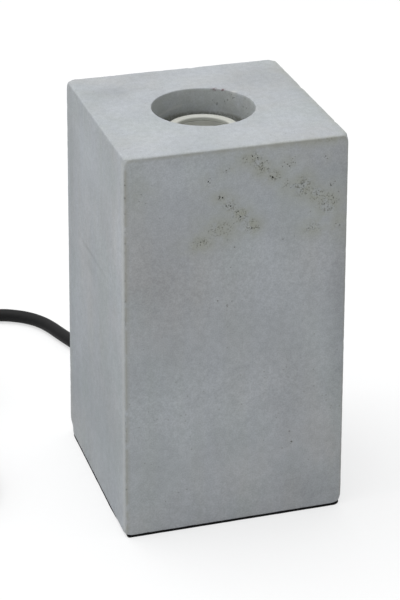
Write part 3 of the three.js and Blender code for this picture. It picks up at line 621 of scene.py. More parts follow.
def air_void_tree():
    """Cutters for air voids: a lumpy ball at each given point, as large as the point says."""
    tree, given = geometry_tree("air_voids", [("Lump", VALUE), ("Finish", "NodeSocketMaterial")])
    ball = first_of(tree, "GeometryNodeMeshIcoSphere", {"Radius": 1.0, "Subdivisions": 2})
    size = first_of(tree, "GeometryNodeInputNamedAttribute", {"Name": "size"}, data_type="FLOAT")
    whole = copies_at(tree, {"Points": given["Geometry"], "Instance": ball, "Scale": size})
    texture = add_node(tree, "ShaderNodeTexNoise", {"Scale": 1800.0, "Detail": 1.0})
    centred = vectors(tree, "SUBTRACT", texture.outputs["Color"], (0.5, 0.5, 0.5))[0]
    push = first_of(tree, "ShaderNodeVectorMath", {
        0: centred, "Scale": given["Lump"]}, operation="SCALE")
    lumpy = first_of(tree, "GeometryNodeSetPosition", {"Geometry": whole, "Offset": push})
    return give_out(tree, lumpy, given["Finish"])


def grown(name, tree, values, source=None):
    """Runs a geometry tree on a mesh and returns the result as a plain object."""
    base = linked(name, source or bpy.data.meshes.new(name))
    modifier = base.modifiers.new(tree.name, "NODES")
    modifier.node_group = tree
    sockets = {s.name: s.identifier for s in tree.interface.items_tree if s.in_out == "INPUT"}
    for label, value in values.items():
        modifier[sockets[label]] = value
    return plain(base)


RIDGE_ROW = ridge_tree()
AIR_VOIDS = air_void_tree()


def ridges(name, count, start, step, length, radius, material, turn=None):
    made = grown(name, RIDGE_ROW, {
        "Count": count, "Start": Vector(start) * MM, "Step": Vector(step) * MM,
        "Length": length * MM, "Radius": radius * MM, "Finish": material})
    if turn is not None:
        made.data.transform(turn)
    return sharpened(made, 50)


# ------------------------------------------------------------------ concrete block
def side_at(height):
    """Distance from the axis to each side of the block, which narrows upwards."""
    return (BLOCK_FOOT + (BLOCK_TOP - BLOCK_FOOT) * (height - FOOT_Z) / (TOP_Z - FOOT_Z)) / 2


def block_row(height, inset=0.0):
    half = side_at(height) - inset
    return outline_row(half, half, max(CORNER - inset, 0.4), height, straight=66, bend=6)


def between(first, second, share):
    return [tuple(Vector(a).lerp(Vector(b), share)) for a, b in zip(first, second)]


def matching_circle(row, radius, height):
    """A circle whose points lie on the same rays as those of a row."""
    return [polar(radius, math.atan2(y, x), height) for x, y, _ in row]


def block_rows():
    """Rows from the middle of the foot up the outside, over the top and down the well."""
    low, high = FOOT_Z + EDGE, TOP_Z - EDGE
    rows = [block_row(FOOT_Z + EDGE * (1 - cos(a)), EDGE * (1 - sin(a)))
            for a in radians(0, 22, 45, 68)]
    rows += [block_row(low + (high - low) * i / 116) for i in range(117)]
    rows += [block_row(high + EDGE * sin(a), EDGE * (1 - cos(a)))
             for a in radians(18, 36, 54, 72, 90)]
    edge = rows[-1]
    mouth = matching_circle(edge, WELL / 2 + WELL_CHAMFER, TOP_Z)
    rim = matching_circle(rows[0], HOLLOW / 2, FOOT_Z)
    rows = [between(rim, rows[0], share) for share in (0.3, 0.6, 0.75, 0.85, 0.92, 0.97)] + rows
    shares = [0.02, 0.05] + [0.05 + 0.9 * i / 22 for i in range(1, 23)] + [0.967, 0.98, 0.99]
    rows += [between(edge, mouth, share) for share in shares]
    return rows + [matching_circle(edge, radius, height) for radius, height in well_profile()]


def well_profile():
    """From the well's mouth down its wall, through the centre hole and down the hollow."""
    well, hole, hollow = WELL / 2, CENTRE_HOLE / 2, HOLLOW / 2
    fillet, fine_to = 1.5, TOP_Z - 13.1  # the wall is finely divided as far as it is seen
    profile = [(well + WELL_CHAMFER * (1 - sin(a)), TOP_Z - WELL_CHAMFER * (1 - cos(a)))
               for a in radians(0, 30, 60, 90)]
    profile += [(well, TOP_Z - 1.1 - 0.8 * i) for i in range(1, 16)]
    profile += [(well, fine_to - (fine_to - WELL_FLOOR - fillet) * i / 10) for i in range(1, 11)]
    profile += arc(well - fillet, WELL_FLOOR + fillet, fillet, 0, -90, 3)[1:]
    profile += [(well - fillet - (well - fillet - hole) * i / 7, WELL_FLOOR) for i in range(1, 8)]
    profile += [(hole, WELL_FLOOR - 0.6), (hole, HOLLOW_TOP + 30), (hole, HOLLOW_TOP + 0.6)]
    centre = (hollow - HOLLOW_FILLET, HOLLOW_TOP - HOLLOW_FILLET)
    profile += [(hole + (centre[0] - hole) * i / 6, HOLLOW_TOP) for i in range(7)]
    profile += arc(*centre, HOLLOW_FILLET, 90, 0, 6)[1:]
    profile += [(hollow, centre[1] - (centre[1] - FOOT_Z) * i / 14) for i in range(1, 15)]
    return profile


# Places on the block that took a knock: x, y, z, reach and depth of the loss.
KNOCKS = [
    (-48, -54.4, 199.8, 1.5, 0.75), (-43.2, -54.2, 199.9, 1.3, 0.65), (-50.5, -54.6, 199.6, 1.0, 0.3),
    (26.2, 7.6, 200, 2.4, 0.6), (24.6, -6.2, 200, 2.2, 0.6), (25.6, 1.0, 200, 1.4, 0.4),
    (20.5, 16.2, 200, 1.9, 0.5), (14.4, 22.4, 200, 1.6, 0.45), (22.8, 12.2, 200, 1.4, 0.4),
    (-54.6, -10.3, 200, 1.0, 0.35), (-55.4, -55.2, 60, 1.4, 0.3), (-55.0, -54.9, 152, 1.6, 0.35),
    (-54.6, -54.6, 176, 1.2, 0.3), (55.2, -55.3, 92, 1.5, 0.25), (10, 54.4, 199.8, 2.0, 0.45),
    (-31, 54.2, 199.8, 1.4, 0.35), (54.3, 12, 199.8, 1.7, 0.4), (54.2, -36, 199.8, 1.4, 0.35),
]
# How far the rounding of each corner reaches; at the foot by the sides it lies on: (right, back).
FOOT_CORNERS = {(False, False): 4.5, (True, False): 6, (False, True): 9, (True, True): 8}
TOP_CORNER = 4.0
PAD_CORNERS = (5.5, 7.5, 1.2, 4)  # roundings, anticlockwise from the back right


def noise_at(place, size, seed=0.0):
    """Smooth noise from about -1 to 1 whose blobs are about size across."""
    return noise.noise(Vector((place.x / size + seed, place.y / size - seed, place.z / size)))


def edge_share(place):
    """1 on an edge of the block or of the well's mouth, 0 from 3 mm away on."""
    half = side_at(place.z)
    gaps = sorted((half - abs(place.x), half - abs(place.y), TOP_Z - place.z, place.z - FOOT_Z))
    outer = max(0.0, gaps[0]) + max(0.0, gaps[1])
    radius = math.hypot(place.x, place.y)
    mouth = abs(radius - WELL / 2) + max(0.0, TOP_Z - place.z)
    return max(0.0, 1 - min(outer, mouth) / 3)


def into_cast(place):
    """The direction from the surface into the cast, which turns slowly round an edge."""
    reach = 4.0
    half = side_at(place.z) - reach
    deep = Vector((min(half, max(-half, place.x)), min(half, max(-half, place.y)),
                   min(TOP_Z - reach, max(FOOT_Z + reach, place.z))))
    radius = math.hypot(place.x, place.y)
    if radius < WELL / 2 + reach:
        deep.x, deep.y = (c * (WELL / 2 + reach) / radius for c in (place.x, place.y))
    return (deep - place).normalized()


def weathered(place):
    """Where a point of the cast lies once its faces wander and its edges have crumbled."""
    radius = math.hypot(place.x, place.y)
    deep_in_well = radius < WELL / 2 + 1 and place.z < TOP_Z - 20
    under_foot = radius < BLOCK_FOOT / 2 and place.z < FOOT_Z + 0.05
    if deep_in_well or under_foot:
        return place
    edge = edge_share(place)
    # The faces wander a little, the edges crumble, and the knocks come on top.
    loss = 0.04 * (0.5 + 0.5 * noise_at(place, 42)) + 0.02 * (0.5 + 0.5 * noise_at(place, 5, 3.1))
    loss += 0.3 * edge * max(0.0, noise_at(place, 6, 9.7) - 0.15)
    loss += 0.22 * edge * max(0.0, noise_at(place, 2.6, 5.2) - 0.05)
    for x, y, z, reach, depth in KNOCKS:
        gap = (place - Vector((x, y, z))).length / reach
        if gap < 1.6:
            rough = 0.75 + 0.5 * noise_at(place, 1.3, 2.2)
            loss += depth * rough * math.exp(-2.2 * gap * gap)
    there = place + into_cast(place) * loss
    # The four corners at the foot and the four at the top are worn round.
    half = side_at(place.z)
    sides = Vector((half - abs(there.x), half - abs(there.y), 0))
    inward = Vector((-math.copysign(1, there.x), -math.copysign(1, there.y), 0))
    foot_reach = FOOT_CORNERS[(there.x > 0, there.y > 0)]
    for reach, share, height, lift in (
        (foot_reach, 0.2, there.z - FOOT_Z, 0.4), (TOP_CORNER, 0.27, TOP_Z - there.z, -1),
    ):
        reach *= 1 + 0.08 * noise_at(place, 4, 7.7)
        gap = Vector((sides.x, sides.y, height)).length
        if gap < reach:
            there += (inward + Vector((0, 0, lift))) * share * reach * (1 - gap / reach) ** 2
    return there


# Patches of small air voids on the front: middle x and z, half widths, count, stain strength.
FRONT_PATCHES = [
    (-5, 189, 2.6, 1.4, 6, 0.5), (-14, 184, 3.2, 2.6, 9, 0.4), (-8.5, 176, 3.2, 1.6, 12, 0.7),
    (-3.5, 171.5, 3.0, 2.2, 12, 0.9), (1.5, 166, 3.2, 2.4, 14, 1.0), (7, 160, 3.4, 2.6, 18, 1.0),
    (-8, 160, 8.0, 5.0, 10, 0.8), (-18, 154, 6.0, 2.4, 16, 0.9), (7, 193.5, 5.5, 2.6, 16, 0.9),
    (12, 188, 3.5, 3.0, 12, 0.9), (18, 184, 3.8, 2.6, 20, 0.8), (24, 178.5, 2.6, 3.0, 10, 0.6),
    (26, 189.5, 4.5, 3.2, 14, 0.5), (32, 177, 4.8, 5.2, 34, 0.95),
    (44.5, 167, 4.8, 5.6, 36, 0.95), (38.5, 172, 3.4, 3.2, 16, 0.95),
    (37.5, 155, 5.0, 2.2, 16, 0.8), (50, 156, 3.0, 6.0, 6, 0.6), (43, 190, 1.2, 1.6, 5, 0.3),
    (46.5, 176.5, 2.0, 1.6, 7, 0.3), (22, 57.4, 0.5, 0.5, 1, 0), (29, 41, 0.5, 0.5, 1, 0),
    (24, 38, 0.5, 0.5, 1, 0), (28, 46.5, 0.4, 0.4, 1, 0), (-13, 121, 1.2, 1.0, 3, 0),
    (-5, 120, 1.0, 0.8, 3, 0), (-25, 22.5, 0.8, 0.5, 1, 0), (-29, 21, 0.8, 0.5, 1, 0),
    (-2, 118, 9, 9, 16, 0), (8, 138, 14, 12, 14, 0), (-38, 66, 7, 6, 8, 0), (-46, 182, 4, 6, 4, 0.4),
]
# Broad zones lighter or darker than the rest: across, up, half widths, strength. On the top,
# up is y; on the left side, across is y.
FRONT_TONES = [
    (-38, 134, 20, 30, -0.19), (-22, 62, 30, 17, 0.14), (53, 120, 6, 70, -0.32), (42, 12, 24, 14, -0.2),
    (9, 141, 15, 15, 0.1), (-28, 190, 22, 9, 0.13), (-6, 88, 18, 12, -0.08), (44, 182, 14, 14, -0.1),
    (-4, 24, 24, 12, 0.06), (30, 70, 12, 28, -0.08),
]
TOP_TONES = [
    (39, 32, 17, 13, -0.26), (-36, 32, 11, 8, -0.26), (-10, 47, 16, 5, -0.1), (52, 4, 5, 40, -0.14),
    (-40, -30, 14, 20, 0.08), (20, -42, 30, 9, 0.06), (-49, 10, 5, 34, -0.1),
]
LEFT_TONES = [
    (46, 150, 8, 60, -0.16), (-44, 150, 9, 46, 0.18), (10, 176, 26, 9, 0.1), (30, 96, 14, 30, 0.1),
    (-20, 60, 15, 34, -0.08), (8, 126, 20, 1.0, -0.3), (14, 118, 16, 3, -0.1),
]


def void_points():
    """Centres and sizes of the air voids in the block's faces, with the same draw each time."""
    draw = random.Random(41)
    places = []

    def on_side(across, height, size, quarter):
        half = side_at(height)
        if abs(across) > half - 1.5 or height > TOP_Z - 1.5:
            return
        point = Vector((across, -half - size * draw.uniform(0.2, 0.62), height))
        point.rotate(Euler((0, 0, quarter * math.pi / 2)))
        places.append((point, size))

    def at_radius(radius, angle, height, smallest, largest):
        places.append((Vector(polar(radius, angle, height)), draw.uniform(smallest, largest)))

    for x, z, wide, tall, count, _ in FRONT_PATCHES:
        for _ in range(count):
            size = draw.uniform(0.22, 0.46) if count > 1 else 0.6
            on_side(draw.gauss(x, wide / 2), draw.gauss(z, tall / 2), size, 0)
    for quarter, count in ((0, 60), (1, 70), (2, 80), (3, 40)):
        for _ in range(count):
            on_side(draw.uniform(-51, 51), draw.uniform(10, 192), draw.uniform(0.18, 0.36), quarter)
    for _ in range(16):  # on the top
        angle, reach = draw.uniform(0, TAU), draw.uniform(31, 49)
        at_radius(reach, angle, TOP_Z + 0.1, 0.2, 0.34)
    for _ in range(40):  # in the wall of the well
        angle = draw.uniform(-0.5, 1.1)
        at_radius(WELL / 2, angle, TOP_Z - draw.uniform(0.8, 9), 0.2, 0.42)
    for _ in range(30):  # along the near left edge
        height = draw.uniform(20, 195)
        half = side_at(height)
        places.append((Vector((-half + 0.55, -half + 0.3, height)), draw.uniform(0.25, 0.45)))
    return places


def void_cutters():
    places = void_points()
    mesh = bpy.data.meshes.new("air_voids")
    mesh.from_pydata([place * MM for place, _ in places], [], [])
    sizes = mesh.attributes.new("size", "FLOAT", "POINT")
    sizes.data.foreach_set("value", [size * MM for _, size in places])
    return grown("air_voids", AIR_VOIDS, {"Lump": 0.25 * MM, "Finish": CONCRETE}, mesh)


def set_mask(mesh, name, values):
    mask = mesh.attributes.new(name, "FLOAT", "POINT")
    mask.data.foreach_set("value", np.clip(values, 0, 1).astype(np.float32))


def zones(across, up, patches):
    """The sum of soft oval zones at each point."""
    total = np.zeros(len(across))
    for middle_a, middle_u, wide, tall, strength in patches:
        gap = ((across - middle_a) / wide) ** 2 + ((up - middle_u) / tall) ** 2
        total += strength * np.exp(-gap)
    return total


def bell(gap, width):
    return np.exp(-(gap / width) ** 2)


def close_to(gap):
    """1 on a face of the block, 0 from 2.5 mm away on."""
    return np.clip(1 - gap / 2.5, 0, 1)


def mask_block(piece):
    """Writes where the block is lighter or darker, with painted light and shade in the well, stained or
    in a band of painted shade under the front's top edge, worn at an edge, pale, rusty, pitted or in
    painted shade near the foot of the well: one value from 0 to 1 at each point."""
    mesh = piece.data
    points = np.empty(len(mesh.vertices) * 3)
    mesh.vertices.foreach_get("co", points)
    x, y, z = (points.reshape(-1, 3) / MM).T
    half = side_at(z)
    radius, angle = np.hypot(x, y), np.degrees(np.arctan2(y, x))
    below = TOP_Z - z
    side_x, side_y = half - abs(x), half - abs(y)
    front, left, top = close_to(half + y), close_to(half + x), close_to(below)
    in_well = (radius < WELL / 2 + 0.3) & (z > WELL_FLOOR) & (z < TOP_Z - 0.3)

    tone_and_well_light = top * zones(x, y, TOP_TONES)
    tone_and_well_light += (1 - top) * (front * zones(x, z, FRONT_TONES) + left * (1 - front) * zones(y, z, LEFT_TONES))
    # Painted light and shade in the well: lighter on the wall that faces the left lamp, darker opposite
    # it, and painted shade deeper down towards the holder.
    deep_well_shade = 0.34 * np.clip((TOP_Z - 11.6 - z) / 1.4, 0, 1)
    tone_and_well_light = np.where(in_well, 0.19 + 0.3 * x / (radius + 0.1) - deep_well_shade, tone_and_well_light)
    set_mask(mesh, "tone_and_well_light", 0.5 + tone_and_well_light)

    stain_and_brow_shade = np.zeros(len(x))
    for across, height, wide, tall, _, strength in FRONT_PATCHES:
        gap = ((x - across) / (wide + 2.5)) ** 2 + ((z - height) / (tall + 2.5)) ** 2
        stain_and_brow_shade = np.maximum(stain_and_brow_shade, strength * np.exp(-gap))
    # A band of painted shade under the front's top edge, in the stains' olive, stronger towards the
    # right.
    brow_shade_band = bell(TOP_Z - 1.5 - z, 3.0) * np.clip(0.5 + x / 100, 0, 1)
    over_edge = 0.5 * top * bell(half - x, 3)
    stain_and_brow_shade = np.maximum(front * np.maximum(stain_and_brow_shade, 0.7 * brow_shade_band), over_edge)
    set_mask(mesh, "stain_and_brow_shade", np.where(in_well, 0.36, stain_and_brow_shade))

    left_line = front * bell(half + x - 0.8, 0.65) * 0.75
    brow = front * bell(TOP_Z - 0.9 - z, 0.6) * 0.55
    right_line = front * bell(half - x - 0.4, 0.6) * 0.6
    set_mask(mesh, "edge", np.maximum.reduce([left_line, brow, right_line]))

    strip = left * bell(half + y - 2.6, 2.0) * (below > 2) * 0.5
    scratch = np.zeros(len(x))
    for start, end, depth, slope, strength in ((98, 134, 9.2, 0.056, 0.7), (24, 56, 12.0, -0.02, 0.5)):
        gap = below - depth - slope * (angle - (start + end) / 2)
        on_wall = in_well & (radius > WELL / 2 - 0.5) & (angle > start) & (angle < end)
        scratch = np.maximum(scratch, strength * on_wall * bell(gap, 0.6))
    chip = np.exp(-((x - 20.5) ** 2 + (y - 15.5) ** 2 + (z - TOP_Z + 0.6) ** 2) / 1.6)
    set_mask(mesh, "pale", np.maximum.reduce([strip, scratch, chip]))

    from_wall = abs(radius - WELL / 2)
    on_mouth = (from_wall < 1.4) & (z > TOP_Z - 1.1)
    reddish = np.where(on_mouth & (angle > 46) & (angle < 67), 0.9, 0)
    set_mask(mesh, "rust", reddish * np.clip(1.6 * np.sin(np.radians(angle * 40 - 150)), 0.2, 1))

    # A pit is where a point lies deeper under its face than the rounding there explains.
    round_mouth = (from_wall < 6) & (z > TOP_Z - 1.5)
    well_side = np.where(z > WELL_FLOOR, WELL / 2 - radius, 99)
    well_depth = np.where(radius > WELL / 2 - 1, abs(well_side), 99)
    depth = np.minimum.reduce([side_x, side_y, below, well_depth])
    upright = np.hypot(side_x, side_y)
    brim = np.hypot(np.minimum(side_x, side_y), below) < 2
    rounding = np.where(upright < 2.2, 0.6, np.where(brim, 0.38, 0.1))
    at_corner = np.hypot(upright, np.minimum(z - FOOT_Z, 3 * below)) < 14
    pitted = (z > FOOT_Z + 4) & (depth < 1.1) & ~round_mouth & ~at_corner
    # Painted shade down the well's wall where it meets the holder's rim.
    rim_gap_shade = in_well * 0.9 * np.clip((TOP_Z - 11.8 - z) / 0.9, 0, 1)
    set_mask(mesh, "pit_and_well_shade", np.maximum(rim_gap_shade, pitted * (depth - rounding) / 0.15))


def concrete_block():
    piece = as_piece("cast_block", skin(block_rows(), closed=True), CONCRETE)
    for vertex in piece.data.vertices:
        vertex.co = weathered(vertex.co / MM) * MM
    piece.data.update()
    hole, start, wall = CORD_HOLE / 2, HOLLOW / 2 - 12, BLOCK_FOOT / 2
    cord_way = as_piece("cord_way", turned(
        [(0, start), (hole, start), (hole, wall - 0.7), (hole + 0.7, wall + 0.5), (0, wall + 0.5)], 48),
        CONCRETE, place=moved(0, 0, CORD_HEIGHT) @ LAY_ALONG_Y)
    cut_by(piece, cord_way, void_cutters())
    mask_block(piece)
    return sharpened(piece, 38)


# ------------------------------------------------------------------ pad under the block
def foot_pad():
    """Soft black sheet cut by hand: its edge wanders and stands back along the left side."""
    top = FOOT_Z - 0.1
    half = BLOCK_FOOT / 2 - 0.2

    def trimmed(x, y):
        """Where a point of the outline lies once cut by hand: wandering, and set back at the
        left of the near corner."""
        wander = 1 + 0.15 * noise_at(Vector((x, y, 0)), 7) / math.hypot(x, y)
        set_back = 1.1 * math.exp(-((y + half) / 19) ** 4) * min(1, max(0, -x - half + 6))
        return x * wander + set_back, y * wander

    def cut(inset, height):
        side = half - inset
        return [(*trimmed(x, y), height) for x, y in rounded_outline(side, side, PAD_CORNERS, 48, 10)]

    def shrunk(share, height):
        return [(x * share, y * share, height) for x, y, _ in cut(0.2, height)]

    rows = [[(0, 0, 0)], shrunk(0.4, 0), shrunk(0.8, 0), cut(0.05, 0), cut(0, 0.12), cut(0, 0.4),
            cut(0, top - 0.2), cut(0.08, top - 0.06), cut(0.25, top), shrunk(0.8, top),
            shrunk(0.4, top), [(0, 0, top)]]
    return as_piece("foot_pad", skin(rows), PAD_RUBBER)


# ------------------------------------------------------------------ lampholder
def skirt_profile():
    """The skirt: a bored sleeve with four grip grooves, its rim rolled over into the mouth."""
    rim, foot, mouth, bore, neck = 18.5, 19.4, 13.65, 14.0, 16.6
    low_z = SKIRT_FOOT_Z
    shell_foot = RIM_Z - 2 - 0.3 - 22
    step_z = shell_foot - 0.3
    profile = [(bore, RIM_Z - 2), (bore, step_z + 0.3), (bore + 0.3, step_z), (neck, step_z),
               (neck, low_z + 0.3), (neck + 0.3, low_z), (foot - 0.6, low_z)]
    profile += arc(foot - 0.6, low_z + 0.6, 0.6, -90, 0, 4)[1:]
    for groove in range(4):
        start = low_z + 1.4 + 2.8 * groove
        profile += [(foot - 0.25 * (1 - cos(TAU * i / 8)), start + 1.4 * i / 8) for i in range(9)]
    profile += [(foot, low_z + 12.6), (rim + 0.25, RIM_Z - 21), (rim, RIM_Z - 18), (rim, RIM_Z - 8)]
    profile += arc(rim - 1.8, RIM_Z - 1.8, 1.8, 0, 90, 8)
    profile += arc(mouth + 0.9, RIM_Z - 0.9, 0.9, 90, 180, 7)
    return profile + [(mouth, RIM_Z - 2)]


def cap_profile():
    """The cap under the skirt: a boss, a dome and a band, with a collar inside the skirt."""
    foot, top, collar = 136.5, 153.2, 158.6
    band, boss, neck, cavity, hole = 19.4, 9, 16.3, 13.5, 5.2
    dome = [(boss + (band - boss) * sin(a), top - 3 - (top - 3 - foot - 5) * cos(a))
            for a in (math.pi / 2 * i / 14 for i in range(15))]
    return [(hole, foot), (boss - 0.6, foot), (boss - 0.15, foot + 0.15), (boss, foot + 0.6), *dome,
            (band, top - 0.3), (band - 0.3, top), (neck, top), (neck, collar), (cavity, collar),
            (cavity, foot + 13), (cavity - 4, foot + 9), (hole, foot + 9)]


def insert_plate():
    foot, top, radius = 158.9, 164.9, 16.3
    plate = as_piece("insert_plate", turned(
        [(0, foot), (radius - 0.2, foot), (radius, foot + 0.2), (radius, top - 0.3),
         (radius - 0.3, top), (0, top)]), PORCELAIN)
    ways = [as_piece("stem_way", rod(1.8, 157, 167), PORCELAIN, place=moved(x, 0, 0))
            for x in (7, -11.2)]
    return sharpened(cut_by(plate, *ways))


def shell_radius(height, angle):
    """Inside radius of the screw shell: a plain collar, a round thread that rises one pitch in
    a turn, and a plain foot."""
    pitch = 25.4 / 7
    foot, top = SHELL_FOOT_Z + SHEET + pitch / 2, SHELL_TOP_Z - 4
    wave = cos(TAU * (height - foot) / pitch - angle)
    share = min(1, max(0, 2 * min(height - foot, top - height) / pitch))
    return 12.75 + 0.55 * (share * wave + 1 - share)


def screw_shell():
    foot, top, count = SHELL_FOOT_Z, SHELL_TOP_Z, 120
    heights = [foot + SHEET + (top - foot - SHEET) * i / 84 for i in range(85)]

    def row(extra, height):
        return [polar(shell_radius(height, angle) + extra, angle, height)
                for angle in (TAU * i / count for i in range(count))]

    rows = [circle(9.3, foot + SHEET, count), circle(9.3, foot, count), circle(13.4, foot, count),
            circle(13.7, foot + 0.2, count)]
    rows += [row(SHEET, height) for height in heights[1:]]
    rows += [row(SHEET / 2, top + 0.02)]
    rows += [row(0, height) for height in reversed(heights)]
    return as_piece("shell_thread", skin(rows, closed=True), SHELL_METAL, 50)


def turned_piece(name, profile, material, count=96):
    return as_piece(name, turned(profile, count, closed=True), material)


# ------------------------------------------------------------------ tube, nut and washers
def tube_with_thread():
    """The threaded tube: the thread is cut where it shows below the nut and near it."""
    low, high, threaded_to = 48.0, 146.9, 66.0
    outer, bore, pitch, count = 4.9, 3.9, 1.0, 36
    heights = [low + (threaded_to - low) * i / 180 for i in range(181)] + [100, high]

    def row(height):
        depth = 0.5 * min(1, (height - low) / 0.8) if height < threaded_to - 0.5 else 0
        turns = [((height - low) / pitch - i / count) % 1 for i in range(count)]
        return [polar(outer - depth * abs(2 * turn - 1), TAU * i / count, height)
                for i, turn in enumerate(turns)]

    rows = [circle(bore, low, count), circle(outer - 0.6, low, count)]
    rows += [row(height) for height in heights[1:]]
    rows += [circle(bore, high, count)]
    return as_piece("carrier_tube", skin(rows, closed=True), ZINC, 40)


def washer(name, low):
    inner, outer, high, blunt = 5.2, 14, low + 1.4, 0.2
    return turned_piece(name, [
        (inner, low), (outer - blunt, low), (outer, low + blunt), (outer, high - blunt),
        (outer - blunt, high), (inner, high)], ZINC)


def hex_nut():
    foot, top = 54.0, 58.0
    corner, hole = 14 / math.sqrt(3), 5.2
    nut = as_piece("lock_nut", turned(
        [(0, foot), (7, foot), (corner + 0.2, foot + 0.8), (corner + 0.2, top - 0.8), (7, top),
         (0, top)], 72), ZINC)
    hexagon = as_piece("hexagon", rod(corner, foot - 1, top + 1, 6), ZINC)
    way = as_piece("nut_hole", turned(
        [(0, foot - 1), (hole + 1, foot - 1), (hole, foot + 0.4), (hole, top - 0.4), (hole + 1, top + 1),
         (0, top + 1)], 48), ZINC)
    cut_by(nut, hexagon, operation="INTERSECT")
    return sharpened(cut_by(nut, way))


# ------------------------------------------------------------------ strain relief
def strain_relief():
    """Moulded on the cord: plug in the wall, flange on the back, then a ribbed taper."""
    flange = BACK_Y + 0.3
    taper = flange + 2.2
    length, root, tip = 22.6, 6.2, 4.5

    def tapered(share, depth=0.0):
        return root + (tip - root) * share - depth, taper + length * share

    profile = [(0, BACK_Y - 12), (4.4, BACK_Y - 12), (5.6, BACK_Y - 9), (4.8, BACK_Y - 9),
               (4.8, BACK_Y - 6), (5.6, flange), (7.8, flange), (8, flange + 0.2), (8, taper - 0.6)]
    profile += arc(7.4, taper - 0.6, 0.6, 0, 90, 4)[1:]
    profile += [(root + 0.5, taper), (tapered(0.02)[0] + 0.1, taper + 0.5)]
    for rib in range(5):
        start = (rib + 0.45) / 5.4
        for share, depth in ((0, 0), (0.012, 0.25), (0.03, 0.9), (0.08, 0.95), (0.098, 0.25), (0.11, 0)):
            profile.append(tapered(start + share, depth))
    profile += [(tip, taper + length - 0.5), (tip - 0.35, taper + length), (0, taper + length)]
    return as_piece("cord_boot", turned(profile, 48), FLEX_SHEATH,
                    place=moved(0, 0, CORD_HEIGHT) @ LAY_ALONG_Y)


# ------------------------------------------------------------------ inline switch
def case_rows(levels):
    """Rows of the switch's rounded case: (inset, height) pairs."""
    half_x, half_y, corner = CASE
    return [outline_row(half_x - inset, half_y - inset, max(corner - inset, 0.5), height,
                        straight=10, bend=10) for inset, height in levels]


def cord_ways():
    return [as_piece("flex_way", rod(3.8, start, start + 12, 36), CASE_PLASTIC,
                     place=moved(0, 0, 8.5) @ LAY_ALONG_Y) for start in (-33, 21)]


def rounded_rim(inset, height, radius, start, end, pieces=5):
    """(inset, height) pairs of a rounded rim."""
    return [(inset - radius * cos(a), height + radius * sin(a))
            for a in radians(*(start + (end - start) * i / pieces for i in range(pieces + 1)))]


def at_switch(piece):
    piece.data.transform(moved(*SWITCH))
    return sharpened(piece)


def switch_base():
    rows = [[(0, 0, 0)], *case_rows([(8, 0)]), *case_rows(rounded_rim(2.6, 2.6, 2.6, -90, 0)),
            *case_rows([(0, 5.0), (0, 7.9), (0.35, 8.25), (1.8, 8.35), (1.8, 1.8), (8, 1.8)]),
            [(0, 0, 1.8)]]
    base = as_piece("switch_base_half", skin(rows), CASE_PLASTIC)
    wells = [as_piece("screw_well", rod(2.7, -1, 1.75, 32), CASE_PLASTIC,
                      place=moved(-end * 8.6, end * 19.5, 0)) for end in (-1, 1)]
    return at_switch(cut_by(base, *cord_ways(), *wells))


def switch_cover():
    rows = [[(0, 0, 17.2)], *case_rows([(8, 17.2), (1.8, 17.2), (1.8, 8.65), (0.35, 8.75), (0, 9.1),
                                        (0, 12), (0, 16.4)])]
    rows += case_rows(rounded_rim(2.6, 16.4, 2.6, 0, 90))[1:]
    rows += [*case_rows([(8, 19)]), [(0, 0, 19)]]
    cover = as_piece("switch_cover_half", skin(rows), CASE_PLASTIC)
    window = as_piece("window_cut", skin([
        [(0, 0, 16)], outline_row(*WINDOW, 16), outline_row(*WINDOW, 20), [(0, 0, 20)]]), CASE_PLASTIC)
    return at_switch(cut_by(cover, *cord_ways(), window))


def window_frame():
    """Low raised frame round the rocker's window."""
    levels = [(2.4, 18.9), (2.3, 19.25), (1.9, 19.55), (0.6, 19.55), (0.15, 19.4), (0.02, 19.1),
              (0.02, 17.3), (0.9, 17.3), (0.9, 18.9)]
    rows = [outline_row(*(size + out for size in WINDOW), height) for out, height in levels]
    return as_piece("window_frame", skin(rows, closed=True), CASE_PLASTIC, place=moved(*SWITCH))


ROCKER_PLACE = moved(SWITCH.x, SWITCH.y, PIVOT_Z) @ Matrix.Rotation(-math.radians(ROCKER_TIP), 4, "X")


def rocker_outline():
    """The rocker's (y, z) section, whose top rises from above the pin to both tips."""
    slope, top = math.tan(math.radians(ROCKER_TIP)), 5.3
    tips = arc(0, 0, 11.3, 6, 35.5, 8)
    tips[-1] = (tips[-1][0], top + tips[-1][0] * slope)
    right = [(2.4, -3.4), (5.4, -0.6), *tips, (4.5, top + 4.5 * slope), (1.5, 5.36)]
    return right + [(-y, z) for y, z in reversed(right)]


def rocker():
    outline, half = rocker_outline(), 5.7

    def at(x, inset):
        shrink = 1 - inset / 9
        return [(x, y * shrink, z * shrink) for y, z in outline]

    rows = [[(-half, 0, 0)], at(-half, 0.5), at(-half + 0.12, 0.18), at(-half + 0.45, 0), at(0, 0),
            at(half - 0.45, 0), at(half - 0.12, 0.18), at(half, 0.5), [(half, 0, 0)]]
    body = as_piece("switch_rocker_cap", skin(rows), ROCKER_PLASTIC)
    pin = as_piece("pin", rod(1.5, -7.6, 7.6, 32), ROCKER_PLASTIC, place=LAY_ALONG_X)
    cut_by(body, pin, operation="UNION")
    body.data.transform(ROCKER_PLACE)
    return sharpened(body)


def rocker_ridges(end):
    turn = Matrix.Rotation(math.radians(ROCKER_TIP * end), 4, "X")
    return ridges("rocker_ridges_" + ("far" if end > 0 else "near"), 4, (0, end * 5.0, 5.28),
                  (0, end * 1.15, 0), 8.2, 0.3, ROCKER_PLASTIC, ROCKER_PLACE @ turn)


